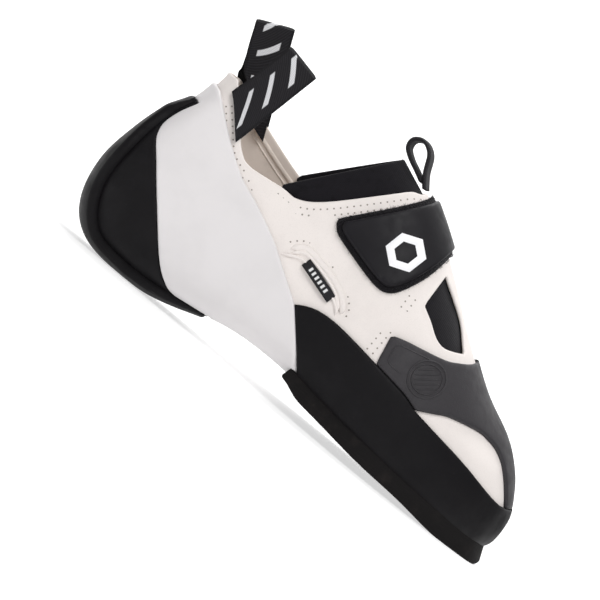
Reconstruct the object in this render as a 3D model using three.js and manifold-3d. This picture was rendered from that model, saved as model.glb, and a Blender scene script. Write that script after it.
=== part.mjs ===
import * as THREE from 'three';
import Module from 'manifold-3d';

const wasm = await Module();
wasm.setup();

// Right climbing shoe, standing empty on its heel and its forefoot.
// +X runs from heel to toe, +Y to the inner side of the foot, +Z up, floor at z = 0.

// The last, that is the outer face of the upper, in millimetres
const LAST_LENGTH = 250;
const INSTEP_HEIGHT = 100;
const HEEL_HEIGHT = 100;
const BALL_WIDTH = 90;
const HEEL_WIDTH = 58;
const HEEL_REST = 36;

// Thickness of each layer, and the gap between two layers
const UPPER_WALL = 1.8;
const RUBBER = 1.8;
const PATCH_RUBBER = 1.6;
const OUTSOLE = 4.7;
const HEEL_STRIP = 4.2;
const TONGUE_WALL = 2.3;
const PAD = 2;
const STRAP = 1.4;
const WEBBING = 1.3;
const GAP = 0.3;
const FLAT_DEPTH = 0.5;
const TIP_REACH = 2.5;

// Widths along the surface
const SOLE_SEAM_INSET = 9;
const STRAP_INSET = 2.6;
const LOOP_WIDTH = 19;
const LOOP_FOLD = 3;
const LOOP_STEP = 0.5;
const LOOP_ROOM = 1.2;
const LOOP_RISE = 2;
const TONGUE_LOOP_WIDTH = 10;
const TONGUE_LOOP_WALL = 2;
const TONGUE_LOOP_TURN = 16;
const TAG_LENGTH = 21;
const TAG_HEIGHT = 5;
const SEAM_WIDTH = 3;

// Facets: steps between two rows of the section table, rows at the toe that are not divided,
// steps in a quarter section, and steps along curves
const ROW_STEPS = 2;
const TOE_ROWS = 3;
const QUARTER_STEPS = 7;
const OUTLINE_STEPS = 5;
const SIDE_STEPS = 24;
const SEAM_STEPS = 12;
const LOOP_STEPS = 16;

const LATERAL = -1;
const MEDIAL = 1;
const BACK_ROW = 14;
const INSTEP_ROW = 9;
const HUNDREDTH = 0.01;

// Facing under the foot, and how near to a vertex no cut runs
const FACES_DOWN = -0.2;
const NEAR_VERTEX = 0.05;

const rubberLevel = GAP + RUBBER;
const overRubber = rubberLevel + GAP;
const soleStack = overRubber + OUTSOLE;
const heelStack = overRubber + HEEL_STRIP;
const overStrapPad = GAP + PAD + GAP;

const table = (columns, rows) => rows.map((row) => Object.fromEntries(
	columns.map((name, index) => [name, row[index] ?? 0])));

// Sections from the toe, round the heel, to the ankle, in hundredths: bottomX and topX of the
// last's length, bottomZ and topZ of its height, middle, outer and inner of its width there.
// rear goes from the ball's width to the heel's, belly is how far up the widest place lies,
// low and high are the roundness under and over it.
const SECTIONS = table(
	['bottomX', 'bottomZ', 'topX', 'topZ', 'middle', 'outer', 'inner', 'rear', 'belly', 'low', 'high'], [
		[100, 12, 100, 12, 19, 0, 0, 0, 42, 2.0, 2.0],
		[99.7, 6, 99.6, 20, 19, 12, 10, 0, 40, 2.4, 2.0],
		[98.4, 2.5, 98, 28, 18, 21, 16, 0, 36, 3.2, 2.0],
		[95.6, 0, 95, 38, 16.5, 31, 23, 0, 31, 4.6, 2.0],
		[89.6, 0.7, 90, 48.3, 13, 42, 31, 0, 27, 5.6, 2.0],
		[80.8, 3.4, 81.6, 58.8, 9, 50, 40, 0, 25, 6.0, 2.0],
		[70.4, 5.2, 72.8, 74, 5.5, 54, 46, 0, 23, 6.0, 2.0],
		[59.6, 8, 64, 90.5, 3, 51, 46, 0, 22, 5.4, 2.1],
		[48, 10.3, 56, 104.5, 1.5, 50, 47, 30, 24, 4.6, 2.2],
		[36.8, 8.8, 49, 114.7, 0.5, 50, 49, 70, 28, 3.6, 2.4],
		[25.2, 2.3, 43, 121, 0, 52, 52, 95, 26, 3.0, 2.6],
		[14.4, 0, 37.6, 125.5, 0, 51, 51, 100, 24, 2.8, 2.6],
		[6, 2.5, 34, 127, 0, 50, 50, 100, 23, 2.7, 2.6],
		[1.6, 12.5, 31.5, 127, 0, 49, 49, 100, 24, 2.7, 2.6],
		[0, 31, 29, 127, 0, 48, 48, 100, 25, 2.7, 2.6],
		[1.2, 51.5, 27, 126.5, 0, 46, 46, 100, 26, 2.6, 2.6],
		[3.5, 71.5, 25, 125.5, 0, 44, 44, 100, 28, 2.5, 2.5],
		[5.4, 89, 22.5, 124.5, 0, 42, 42, 100, 32, 2.4, 2.4],
		[6, 111, 20.5, 124, 0, 40, 40, 100, 40, 2.2, 2.2],
	]);

// Outlines in the side view, in hundredths of the last's length and height.
// A row with corner 1 is a corner, the others lie on a smooth curve.
const OUTLINE = ['x', 'z', 'corner'];

const COLLAR_OUTER = table(OUTLINE, [
	[-10, -32, 1], [-10, 100, 1], [8, 100, 1], [11.6, 91], [15.2, 81], [17.6, 75.2], [20.4, 72.5],
	[27.6, 74.4], [31.2, 75], [35.6, 82.5], [43.6, 103.2], [46.6, 111], [49.2, 115.2],
	[52, 133, 1], [108, 133, 1], [108, -32, 1],
]);
const COLLAR_INNER = table(OUTLINE, [
	[-10, -32, 1], [-10, 100, 1], [8, 100, 1], [11.6, 96], [19.6, 89], [27.2, 83], [30.8, 81.5],
	[34.4, 85], [39.2, 95.5], [43.6, 105.7], [46.8, 112.5], [49.2, 115.2],
	[52, 133, 1], [108, 133, 1], [108, -32, 1],
]);
const WINDOW = table(OUTLINE, [
	[61.8, 91, 1], [66.4, 84], [70, 77.7], [73.7, 68.2, 1], [72, 66.2], [69.8, 64.7],
	[67.6, 66], [64.8, 70.5], [62, 74.2, 1],
]);
const TONGUE_OUTER = table(OUTLINE, [
	[27, 75.5, 1], [41.6, 121.5, 1], [45, 143, 1], [84, 143, 1], [78.8, 59.2, 1], [71.6, 55.7],
	[63.6, 59.2], [57.6, 73.2], [51.6, 85], [44.8, 87], [37.6, 73], [32, 66], [28.4, 67, 1],
]);
const TONGUE_INNER = table(OUTLINE, [
	[28, 82, 1], [41.6, 121.5, 1], [45, 143, 1], [84, 143, 1], [78.8, 59.2, 1], [71.6, 59],
	[63.6, 65], [57.6, 79], [51.6, 88], [44.8, 92], [37.6, 81], [33.6, 75], [29.6, 75, 1],
]);
const RAND_OUTER = table(OUTLINE, [
	[43.2, 36.2, 1], [45.2, 39], [47.6, 41], [51.6, 41.7], [57.6, 40.4], [63.6, 38.4], [69.6, 36.2],
	[72.8, 33.8], [76.8, 32.2], [86.4, 28.4], [94.8, 23.6], [98, 23.2], [102.4, 25.2],
	[108, 26, 1], [108, -32, 1], [62.4, -32, 1], [53.6, 7.7, 1],
]);
const RAND_INNER = table(OUTLINE, [
	[44.8, 34, 1], [47.2, 37.2], [50.4, 39.2], [54.4, 39.7], [62.4, 38.2], [69.6, 36.2],
	[76.8, 33.2], [86.4, 29.7], [94.8, 25.7], [98, 24.5], [102.4, 25.2],
	[108, 26, 1], [108, -32, 1], [62.4, -32, 1], [53.6, 7.7, 1],
]);
const BAND_OUTER = table(OUTLINE, [
	[-10, 91.7, 1], [4.4, 91.7], [7.6, 89.7, 1], [14.2, 76.5], [20.4, 66.4], [25.6, 61.2],
	[32.4, 53.2], [37.6, 45], [43, 36.4, 1], [56, 5, 1], [61.6, -32, 1], [33, -32, 1],
	[32, 6.7, 1], [28, 4.9], [24.8, 4.4], [22, 5.8], [17.8, 13.7], [9.9, 35.6], [6.2, 46.6],
	[4, 53.6], [3.3, 58.2], [3.3, 63.2], [4.3, 71.2], [5.9, 79.5, 1], [-10, 79.5, 1],
]);
const BAND_INNER = table(OUTLINE, [
	[-10, 91.7, 1], [4.4, 91.7], [7.6, 89.7, 1], [14.2, 79], [20.4, 70], [25.6, 64],
	[32.4, 55.7], [38.4, 45], [44.7, 34.3, 1], [56, 5, 1], [61.6, -32, 1], [33, -32, 1],
	[32, 6.7, 1], [28, 4.9], [24.8, 4.4], [22, 5.8], [17.8, 13.7], [9.9, 35.6], [6.2, 46.6],
	[4, 53.6], [3.3, 58.2], [3.3, 63.2], [4.3, 71.2], [5.9, 79.5, 1], [-10, 79.5, 1],
]);
const HEEL_CUP = table(OUTLINE, [
	[-10, 79.5, 1], [6.4, 79.5, 1], [9.8, 55, 1], [25.6, 14, 1], [32, 6.7, 1], [33, -32, 1],
	[-10, -32, 1],
]);
const STRIP = table(OUTLINE, [
	[5.6, 79.5, 1], [3.9, 70.2], [2.9, 61.2], [2.3, 53.2], [1.9, 43.2], [1.7, 33.2], [2, 24.2],
	[3, 16.7], [4.6, 10.2], [6.8, 5.6], [9.6, 3.8], [13.6, 2.9], [18.4, 3.2], [23.2, 4.4],
	[28, 6], [31.2, 7, 1], [33, -32, 1], [-10, -32, 1], [-10, 79.5, 1],
]);
const PATCH_OUTER = table(OUTLINE, [
	[60.7, 53.7, 1], [63.6, 56], [70.8, 59.7], [73.6, 62.6], [75.8, 65.8], [76.4, 68.2],
	[75.7, 70.8], [74.4, 75.2, 1], [74.4, 93, 1], [108, 93, 1], [108, 13, 1], [97.8, 13, 1],
	[97.8, 23.6, 1], [96, 29.2], [94, 34.6], [92, 38.9], [89.6, 42.1], [87.2, 43.5], [84.4, 43.8],
	[78.8, 41], [76, 37.7], [73, 34, 1], [68.8, 23, 1], [62, 37, 1],
]);
const PATCH_INNER = table(OUTLINE, [
	[62.4, 53, 1], [65.6, 56.7], [73.2, 63.2], [75.4, 66.6], [76.1, 68.7], [75.7, 70.8],
	[74.4, 75.2, 1], [74.4, 93, 1], [108, 93, 1], [108, 13, 1], [63, 13, 1],
]);
const STRAP_OUTER = table(OUTLINE, [
	[39.3, 79.5], [40, 82], [42, 88], [45.6, 98.7], [48.8, 109], [51.2, 118, 1], [53.8, 128, 1],
	[62.5, 114, 1], [59.9, 104, 1], [59.7, 94], [59, 84.7], [57.8, 76.7], [56.4, 70.4], [55, 67.4],
	[53.2, 66.4], [49.6, 67.8], [42, 73], [40, 76],
]);
const STRAP_INNER = table(OUTLINE, [
	[51.2, 118, 1], [48, 106], [44.4, 91, 1], [55.6, 78.7, 1], [58, 90], [59.9, 104, 1],
	[62.5, 114, 1], [53.8, 128, 1],
]);
const SOLE = table(OUTLINE, [
	[50.4, 14, 1], [61.6, 10.4], [73.6, 8], [83.6, 6], [94, 3.8], [99.2, 4.2], [108, 5, 1],
	[108, -32, 1], [50.4, -32, 1],
]);
const SIDE_SEAM = table(OUTLINE, [
	[36, 55.2], [37.2, 58.2], [38.8, 60], [41.6, 59], [45.6, 56.6], [48.4, 53.6], [50.4, 49.4],
	[50.8, 46.5],
]);
const TAG_PLACE = { x: 43.8, z: 51.6, tilt: -16 };

// Where the loops stand, in hundredths, with the lean of their straps in degrees
const HEEL_LOOPS = table(['side', 'x', 'z', 'reach', 'lean', 'drop'], [
	[LATERAL, 12.2, 84.5, 42, 12, 5],
	[MEDIAL, 13.4, 92, 42, -24, 9],
]);
const TONGUE_LOOP = table(['x', 'z'], [
	[48.4, 115.4], [46.6, 121.6], [45, 129.5], [42.8, 132.6], [41, 130.4], [41, 126],
	[42.6, 122.6], [45, 119.7], [47, 117.2],
]);

const MATERIALS = {
	upper: { color: 0xece6e2, roughness: 0.75, metalness: 0 },
	insole: { color: 0xcbb9a5, roughness: 0.9, metalness: 0 },
	outsole: { color: 0x262424, roughness: 0.85, metalness: 0 },
	rand: { color: 0x201e21, roughness: 0.6, metalness: 0 },
	toe_patch: { color: 0x48464a, roughness: 0.65, metalness: 0 },
	heel_cup: { color: 0x211f21, roughness: 0.6, metalness: 0 },
	heel_strip: { color: 0x1b1a1c, roughness: 0.55, metalness: 0 },
	heel_band: { color: 0xe8e7ea, roughness: 0.5, metalness: 0 },
	tongue: { color: 0x1e1c20, roughness: 0.9, metalness: 0 },
	strap_pad: { color: 0x1c1a1e, roughness: 0.95, metalness: 0 },
	strap: { color: 0x28262a, roughness: 0.45, metalness: 0 },
	webbing: { color: 0x2a2829, roughness: 0.85, metalness: 0 },
};

const clamp = (value, low, high) => Math.min(Math.max(value, low), high);
const mix = (a, b, share) => a + (b - a) * share;
const ease = (a, b, value) => {
	const share = clamp((value - a) / (b - a), 0, 1);
	return share * share * (3 - 2 * share);
};

// Places in the side view, from shares of the last

const HEEL_REGION = [0.15, 0.5];
const frontShare = (x) => ease(HEEL_REGION[0], HEEL_REGION[1], x * HUNDREDTH);
const placeX = (x) => x * HUNDREDTH * LAST_LENGTH - HEEL_REST;
const heightUnit = (x) => mix(HEEL_HEIGHT, INSTEP_HEIGHT, frontShare(x));
const lift = (x) => mix(heelStack, soleStack, frontShare(x)) - FLAT_DEPTH;
const placeZ = (x, z) => lift(x) + z * HUNDREDTH * heightUnit(x);
const place = (row) => new THREE.Vector2(placeX(row.x), placeZ(row.x, row.z));

// Smooth curve through evenly counted values
function splineValue(before, start, end, after, t) {
	const slopeStart = (end - before) / 2;
	const slopeEnd = (after - start) / 2;
	const bend = 3 * (end - start) - 2 * slopeStart - slopeEnd;
	const twist = slopeStart + slopeEnd - 2 * (end - start);
	return start + t * (slopeStart + t * (bend + t * twist));
}

function sectionAt(u) {
	const last = SECTIONS.length - 1;
	const index = clamp(Math.floor(u), 0, last - 1);
	const rows = [index - 1, index, index + 1, index + 2].map((i) => SECTIONS[clamp(i, 0, last)]);
	const section = {};
	for (const name of Object.keys(SECTIONS[0])) {
		section[name] = splineValue(...rows.map((row) => row[name]), u - index);
	}
	return section;
}

// One section's frame: its bottom and top points, its middle and its half widths
function sectionFrame(u) {
	const row = sectionAt(u);
	const widthUnit = mix(BALL_WIDTH, HEEL_WIDTH, row.rear * HUNDREDTH) * HUNDREDTH;
	return {
		bottom: place({ x: row.bottomX, z: row.bottomZ }),
		top: place({ x: row.topX, z: row.topZ }),
		middle: row.middle * HUNDREDTH * BALL_WIDTH,
		outer: Math.max(row.outer, 0) * widthUnit,
		inner: Math.max(row.inner, 0) * widthUnit,
		belly: row.belly * HUNDREDTH,
		low: row.low,
		high: row.high,
	};
}

// Point of the last: u counts table rows from the toe, v goes once round the section,
// from the bottom's middle over the outer side and the top back to the bottom
function lastPoint(u, v) {
	const frame = sectionFrame(u);
	const lateral = v <= 0.5;
	const climb = lateral ? 2 * v : 2 - 2 * v;
	const angle = (climb < 0.5 ? climb : climb - 0.5) * Math.PI;
	const sine = Math.abs(Math.sin(angle));
	const cosine = Math.abs(Math.cos(angle));
	let up;
	let out;
	if (climb < 0.5) {
		up = frame.belly * (1 - cosine ** (2 / frame.low));
		out = sine ** (2 / frame.low);
	} else {
		up = mix(frame.belly, 1, sine ** (2 / frame.high));
		out = cosine ** (2 / frame.high);
	}
	const halfWidth = lateral ? -frame.outer : frame.inner;
	const point = frame.bottom.clone().lerp(frame.top, up);
	return new THREE.Vector3(point.x, frame.middle + out * halfWidth, point.y);
}

const NUDGE = 1e-3;

function lastNormal(u, v) {
	const row = clamp(u, 2 * NUDGE, SECTIONS.length - 1 - 2 * NUDGE);
	const alongRows = lastPoint(row + NUDGE, v).sub(lastPoint(row - NUDGE, v));
	const wrap = (value) => (value + 1) % 1;
	const round = lastPoint(row, wrap(v + NUDGE)).sub(lastPoint(row, wrap(v - NUDGE)));
	return round.cross(alongRows).normalize();
}

// Places of the net's rows: the toe's short rows are not divided
function rowStops() {
	const stops = [];
	for (let u = 1; u < SECTIONS.length; u += u < TOE_ROWS ? 1 : 1 / ROW_STEPS) {
		stops.push(u);
	}
	return stops;
}

// The last as one triangle net, which every layer shares
function makeNet() {
	const columns = 4 * QUARTER_STEPS;
	const stops = rowStops();
	const vertices = [];
	const triangles = [];
	const toe = lastPoint(0, 0);
	vertices.push({ point: toe, normal: new THREE.Vector3(1, 0, 0), u: 0, side: LATERAL });
	for (const u of stops) {
		for (let j = 0; j < columns; j += 1) {
			const v = j / columns;
			const side = v <= 0.5 ? LATERAL : MEDIAL;
			vertices.push({ point: lastPoint(u, v), normal: lastNormal(u, v), u, side });
		}
	}
	const id = (i, j) => (i === 0 ? 0 : 1 + (i - 1) * columns + (j % columns));
	for (let i = 0; i < stops.length; i += 1) {
		for (let j = 0; j < columns; j += 1) {
			const [a, b, c, d] = [id(i, j), id(i + 1, j), id(i + 1, j + 1), id(i, j + 1)];
			if (i === 0) {
				triangles.push([0, c, b]);
			} else if (j < columns / 2) {
				triangles.push([a, c, b], [a, d, c]);
			} else {
				triangles.push([a, d, b], [b, d, c]);
			}
		}
	}
	return { vertices, triangles };
}

const net = makeNet();

// Closed outline in the side view, as a polygon
function polygon(rows) {
	const points = rows.map(place);
	const count = rows.length;
	const result = [];
	for (let i = 0; i < count; i += 1) {
		const next = (i + 1) % count;
		const before = rows[i].corner ? i : (i + count - 1) % count;
		const after = rows[next].corner ? next : (next + 1) % count;
		const straight = rows[i].corner && rows[next].corner;
		const steps = straight ? 1 : OUTLINE_STEPS;
		for (let k = 0; k < steps; k += 1) {
			const ids = [before, i, next, after];
			const x = splineValue(...ids.map((n) => points[n].x), k / steps);
			const z = splineValue(...ids.map((n) => points[n].y), k / steps);
			result.push(new THREE.Vector2(x, z));
		}
	}
	return result;
}

// Distance to a polygon, negative inside
function distanceTo(outline, x, z) {
	let nearest = Infinity;
	let inside = false;
	for (let i = 0, j = outline.length - 1; i < outline.length; j = i, i += 1) {
		const a = outline[j];
		const b = outline[i];
		const dx = b.x - a.x;
		const dz = b.y - a.y;
		const length = dx * dx + dz * dz || 1;
		const t = clamp(((x - a.x) * dx + (z - a.y) * dz) / length, 0, 1);
		nearest = Math.min(nearest, Math.hypot(x - a.x - t * dx, z - a.y - t * dz));
		if (a.y > z !== b.y > z && x < a.x + (dx * (z - a.y)) / dz) {
			inside = !inside;
		}
	}
	return inside ? -nearest : nearest;
}

// Field of an outline over the net: one value per vertex, negative inside
function sideField(outerRows, innerRows = outerRows) {
	const outlines = { [LATERAL]: polygon(outerRows), [MEDIAL]: polygon(innerRows) };
	return ({ point, side }) => distanceTo(outlines[side], point.x, point.z);
}

const collar = sideField(COLLAR_OUTER, COLLAR_INNER);
const vampWindow = sideField(WINDOW);
const tongueArea = sideField(TONGUE_OUTER, TONGUE_INNER);
const rand = sideField(RAND_OUTER, RAND_INNER);
const band = sideField(BAND_OUTER, BAND_INNER);
const cup = sideField(HEEL_CUP);
const strip = sideField(STRIP);
const patch = sideField(PATCH_OUTER, PATCH_INNER);
const strapArea = sideField(STRAP_OUTER, STRAP_INNER);
const sole = sideField(SOLE);

// Outline of the last seen from above: its widest places, closed round the heel's back
function planOutline() {
	const outer = [];
	const inner = [];
	for (const u of [0, ...rowStops().filter((stop) => stop < BACK_ROW)]) {
		const frame = sectionFrame(u);
		const x = mix(frame.bottom.x, frame.top.x, frame.belly);
		outer.push(new THREE.Vector2(x, frame.middle - frame.outer));
		inner.push(new THREE.Vector2(x, frame.middle + frame.inner));
	}
	for (let k = QUARTER_STEPS; k >= 0; k -= 1) {
		const v = k / QUARTER_STEPS / 4;
		const [outerPoint, innerPoint] = [lastPoint(BACK_ROW, v), lastPoint(BACK_ROW, (1 - v) % 1)];
		outer.push(new THREE.Vector2(outerPoint.x, outerPoint.y));
		inner.push(new THREE.Vector2(innerPoint.x, innerPoint.y));
	}
	return [...outer, ...inner.reverse()];
}

const plan = planOutline();

// Field of the opening that the insole closes, under the foot
function soleOpening({ point, normal }) {
	if (normal.z > FACES_DOWN) {
		return SOLE_SEAM_INSET;
	}
	return distanceTo(plan, point.x, point.y) + SOLE_SEAM_INSET;
}

// Part of the net where the field is negative, cut along straight lines inside each facet
function cutNet(field) {
	const values = net.vertices.map((vertex) => {
		const value = field(vertex);
		return Math.abs(value) < NEAR_VERTEX ? NEAR_VERTEX : value;
	});
	const sheet = { vertices: [], triangles: [] };
	const kept = new Map();
	const keep = (key, make) => {
		if (!kept.has(key)) {
			kept.set(key, sheet.vertices.length);
			sheet.vertices.push(make());
		}
		return kept.get(key);
	};
	const between = (a, b) => {
		const [low, high] = a < b ? [a, b] : [b, a];
		const share = values[low] / (values[low] - values[high]);
		const [start, end] = [net.vertices[low], net.vertices[high]];
		return keep(`${low}_${high}`, () => ({
			point: start.point.clone().lerp(end.point, share),
			normal: start.normal.clone().lerp(end.normal, share),
			u: mix(start.u, end.u, share),
		}));
	};
	for (const triangle of net.triangles) {
		const corners = [];
		for (let i = 0; i < 3; i += 1) {
			const a = triangle[i];
			const b = triangle[(i + 1) % 3];
			if (values[a] < 0) {
				corners.push(keep(`${a}`, () => net.vertices[a]));
			}
			if (values[a] < 0 !== values[b] < 0) {
				corners.push(between(a, b));
			}
		}
		for (let i = 2; i < corners.length; i += 1) {
			sheet.triangles.push([corners[0], corners[i - 1], corners[i]]);
		}
	}
	return sheet;
}

// Closed solid between two faces of a sheet, given as functions from vertex to point
function thicken(sheet, innerFace, outerFace) {
	const count = sheet.vertices.length;
	const points = [...sheet.vertices.map(outerFace), ...sheet.vertices.map(innerFace)];
	const triangles = [];
	const edges = new Map();
	for (const [a, b, c] of sheet.triangles) {
		triangles.push([a, b, c], [a + count, c + count, b + count]);
		for (const [start, end] of [[a, b], [b, c], [c, a]]) {
			edges.set(`${start}_${end}`, [start, end]);
		}
	}
	for (const [start, end] of edges.values()) {
		if (!edges.has(`${end}_${start}`)) {
			triangles.push([start + count, end, start], [start + count, end + count, end]);
		}
	}
	return { points, triangles };
}

const offset = (distance) => ({ point, normal }) => point.clone().addScaledVector(normal, distance);
const layer = (field, from, to) => thicken(cutNet(field), offset(from), offset(to));

function toGeometry({ points, triangles }) {
	const geometry = new THREE.BufferGeometry();
	geometry.setAttribute('position', new THREE.Float32BufferAttribute(
		points.flatMap((point) => point.toArray()), 3));
	geometry.setIndex(triangles.flat());
	geometry.computeVertexNormals();
	return geometry;
}

function toManifold({ points, triangles }) {
	return new wasm.Manifold(new wasm.Mesh({
		numProp: 3,
		vertProperties: new Float32Array(points.flatMap((point) => point.toArray())),
		triVerts: new Uint32Array(triangles.flat()),
	}));
}

function fromManifold(solid) {
	const mesh = solid.getMesh();
	const geometry = new THREE.BufferGeometry();
	geometry.setAttribute('position', new THREE.Float32BufferAttribute(mesh.vertProperties, 3));
	geometry.setIndex([...mesh.triVerts]);
	geometry.computeVertexNormals();
	return geometry;
}

// Cuts a solid level with the floor, which gives it its flat spot
function trimAtFloor(solid) {
	const size = 2 * LAST_LENGTH;
	const corners = [];
	for (const x of [-size, size]) {
		for (const y of [-size, size]) {
			for (const z of [-size, 0]) {
				corners.push(new THREE.Vector3(x, y, z));
			}
		}
	}
	const faces = [
		[0, 1, 3], [0, 3, 2], [4, 6, 7], [4, 7, 5], [0, 4, 5], [0, 5, 1],
		[2, 3, 7], [2, 7, 6], [0, 2, 6], [0, 6, 4], [1, 5, 7], [1, 7, 3],
	];
	const ground = toManifold({ points: corners, triangles: faces });
	return fromManifold(toManifold(solid).subtract(ground));
}

// The pieces

function makeUpper() {
	const field = (vertex) => Math.max(collar(vertex), -vampWindow(vertex), -soleOpening(vertex));
	return toGeometry(layer(field, -UPPER_WALL, 0));
}

function makeInsole() {
	const field = (vertex) => soleOpening(vertex) + GAP;
	return toGeometry(layer(field, -UPPER_WALL, 0));
}

function makeTongue() {
	const outside = -(UPPER_WALL + GAP);
	return toGeometry(layer(tongueArea, outside - TONGUE_WALL, outside));
}

function makeRand() {
	return toGeometry(layer(rand, GAP, rubberLevel));
}

function makeHeelBand() {
	const field = (vertex) => Math.max(band(vertex), GAP - rand(vertex));
	return toGeometry(layer(field, GAP, rubberLevel));
}

function makeHeelCup() {
	const field = (vertex) => Math.max(cup(vertex), GAP - band(vertex));
	return toGeometry(layer(field, GAP, rubberLevel));
}

function makeToePatch() {
	const field = (vertex) => Math.max(patch(vertex), GAP - rand(vertex));
	return toGeometry(layer(field, GAP, GAP + PATCH_RUBBER));
}

// Raised strip down the back and under the heel, thinner towards both ends
function makeHeelStrip() {
	const thin = 0.2;
	const thinTop = 0.3;
	const topStart = placeZ(0, 66);
	const topEnd = placeZ(0, 79.5);
	const taperEnd = placeX(32);
	const taperStart = placeX(18);
	const outerFace = (vertex) => {
		const under = clamp(-vertex.normal.z, 0, 1);
		const front = mix(1, mix(1, thin, ease(taperStart, taperEnd, vertex.point.x)), under);
		const taper = front * mix(1, thinTop, ease(topStart, topEnd, vertex.point.z));
		return offset(overRubber + HEEL_STRIP * taper)(vertex);
	};
	return trimAtFloor(thicken(cutNet(strip), offset(overRubber), outerFace));
}

// Outsole: its upper face follows the rand, its lower face is level across the foot,
// it thins out to its rear edge and its tip comes forward under the toes
function makeOutsole() {
	const rear = placeX(SOLE[0].x);
	const thin = 0.4;
	const tipStart = placeX(92);
	const tipEnd = placeX(99);
	const lowerFace = (vertex) => {
		const frame = sectionFrame(vertex.u);
		const up = frame.top.clone().sub(frame.bottom).normalize();
		const face = offset(overRubber)(vertex);
		const height = (face.x - frame.bottom.x) * up.x + (face.z - frame.bottom.y) * up.y;
		const taper = mix(thin, 1, ease(rear, rear + 3 * OUTSOLE, vertex.point.x));
		const drop = -overRubber - OUTSOLE * taper - height;
		const tip = TIP_REACH * ease(tipStart, tipEnd, vertex.point.x);
		return new THREE.Vector3(face.x + up.x * drop + tip, face.y, face.z + up.y * drop - tip);
	};
	return trimAtFloor(thicken(cutNet(sole), offset(overRubber), lowerFace));
}

function makeStrapPad() {
	return toGeometry(layer(strapArea, GAP, GAP + PAD));
}

function makeStrap() {
	const field = (vertex) => strapArea(vertex) + STRAP_INSET;
	return toGeometry(layer(field, overStrapPad, overStrapPad + STRAP));
}

// Place on the last, at a distance from it, for a place in the side view
function onSide(side, x, z, distance) {
	let best = { miss: Infinity };
	const half = side === LATERAL ? 0 : 0.5;
	for (let i = 2; i < (SECTIONS.length - 1) * 3; i += 1) {
		for (let j = 1; j < SIDE_STEPS; j += 1) {
			const [u, v] = [i / 3, half + j / (2 * SIDE_STEPS)];
			const point = lastPoint(u, v);
			const miss = Math.hypot(point.x - x, point.z - z);
			if (miss < best.miss) {
				best = { miss, u, v };
			}
		}
	}
	let { u, v } = best;
	for (let turn = 0; turn < 6; turn += 1) {
		const here = lastPoint(u, v);
		const alongU = lastPoint(u + NUDGE, v).sub(here).divideScalar(NUDGE);
		const alongV = lastPoint(u, v + NUDGE).sub(here).divideScalar(NUDGE);
		const determinant = alongU.x * alongV.z - alongU.z * alongV.x;
		const [dx, dz] = [x - here.x, z - here.z];
		u += (dx * alongV.z - dz * alongV.x) / determinant;
		v += (dz * alongU.x - dx * alongU.z) / determinant;
	}
	return offset(distance)({ point: lastPoint(u, v), normal: lastNormal(u, v) });
}

// Closed solid between two equal grids of points, the first one outside
function gridSolid(outerGrid, innerGrid) {
	const rows = outerGrid.length;
	const columns = outerGrid[0].length;
	const vertices = [];
	for (let i = 0; i < rows; i += 1) {
		for (let j = 0; j < columns; j += 1) {
			vertices.push({ outside: outerGrid[i][j], inside: innerGrid[i][j] });
		}
	}
	const triangles = [];
	for (let i = 0; i + 1 < rows; i += 1) {
		for (let j = 0; j + 1 < columns; j += 1) {
			const a = i * columns + j;
			triangles.push([a, a + columns, a + columns + 1], [a, a + columns + 1, a + 1]);
		}
	}
	const solid = thicken({ vertices, triangles }, (v) => v.inside, (v) => v.outside);
	return toGeometry(solid);
}

// Patch of cloth laid on the side of the last, from a grid of side view places
function laidOn(side, places, from, to) {
	const grid = (distance) => places.map((row) => row.map(
		({ x, y }) => onSide(side, x, y, distance)));
	return side === LATERAL ? gridSolid(grid(to), grid(from)) : gridSolid(grid(from), grid(to));
}

function makeSideTag() {
	const centre = place(TAG_PLACE);
	const tilt = THREE.MathUtils.degToRad(TAG_PLACE.tilt);
	const places = [-1, -0.6, -0.2, 0.2, 0.6, 1].map((along) => [-1, 1].map((across) => {
		const corner = new THREE.Vector2(along * TAG_LENGTH / 2, across * TAG_HEIGHT / 2);
		return corner.rotateAround(new THREE.Vector2(), tilt).add(centre);
	}));
	return laidOn(LATERAL, places, 2 * GAP, 2 * GAP + WEBBING);
}

function makeSideSeam() {
	const curve = new THREE.SplineCurve(SIDE_SEAM.map(place));
	const places = [];
	for (let i = 0; i <= SEAM_STEPS; i += 1) {
		const along = curve.getTangent(i / SEAM_STEPS);
		const across = new THREE.Vector2(-along.y, along.x).multiplyScalar(SEAM_WIDTH / 2);
		const centre = curve.getPoint(i / SEAM_STEPS);
		places.push([centre.clone().sub(across), centre.clone().add(across)]);
	}
	return laidOn(LATERAL, places, 2 * GAP, 2 * GAP + WEBBING);
}

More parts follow.
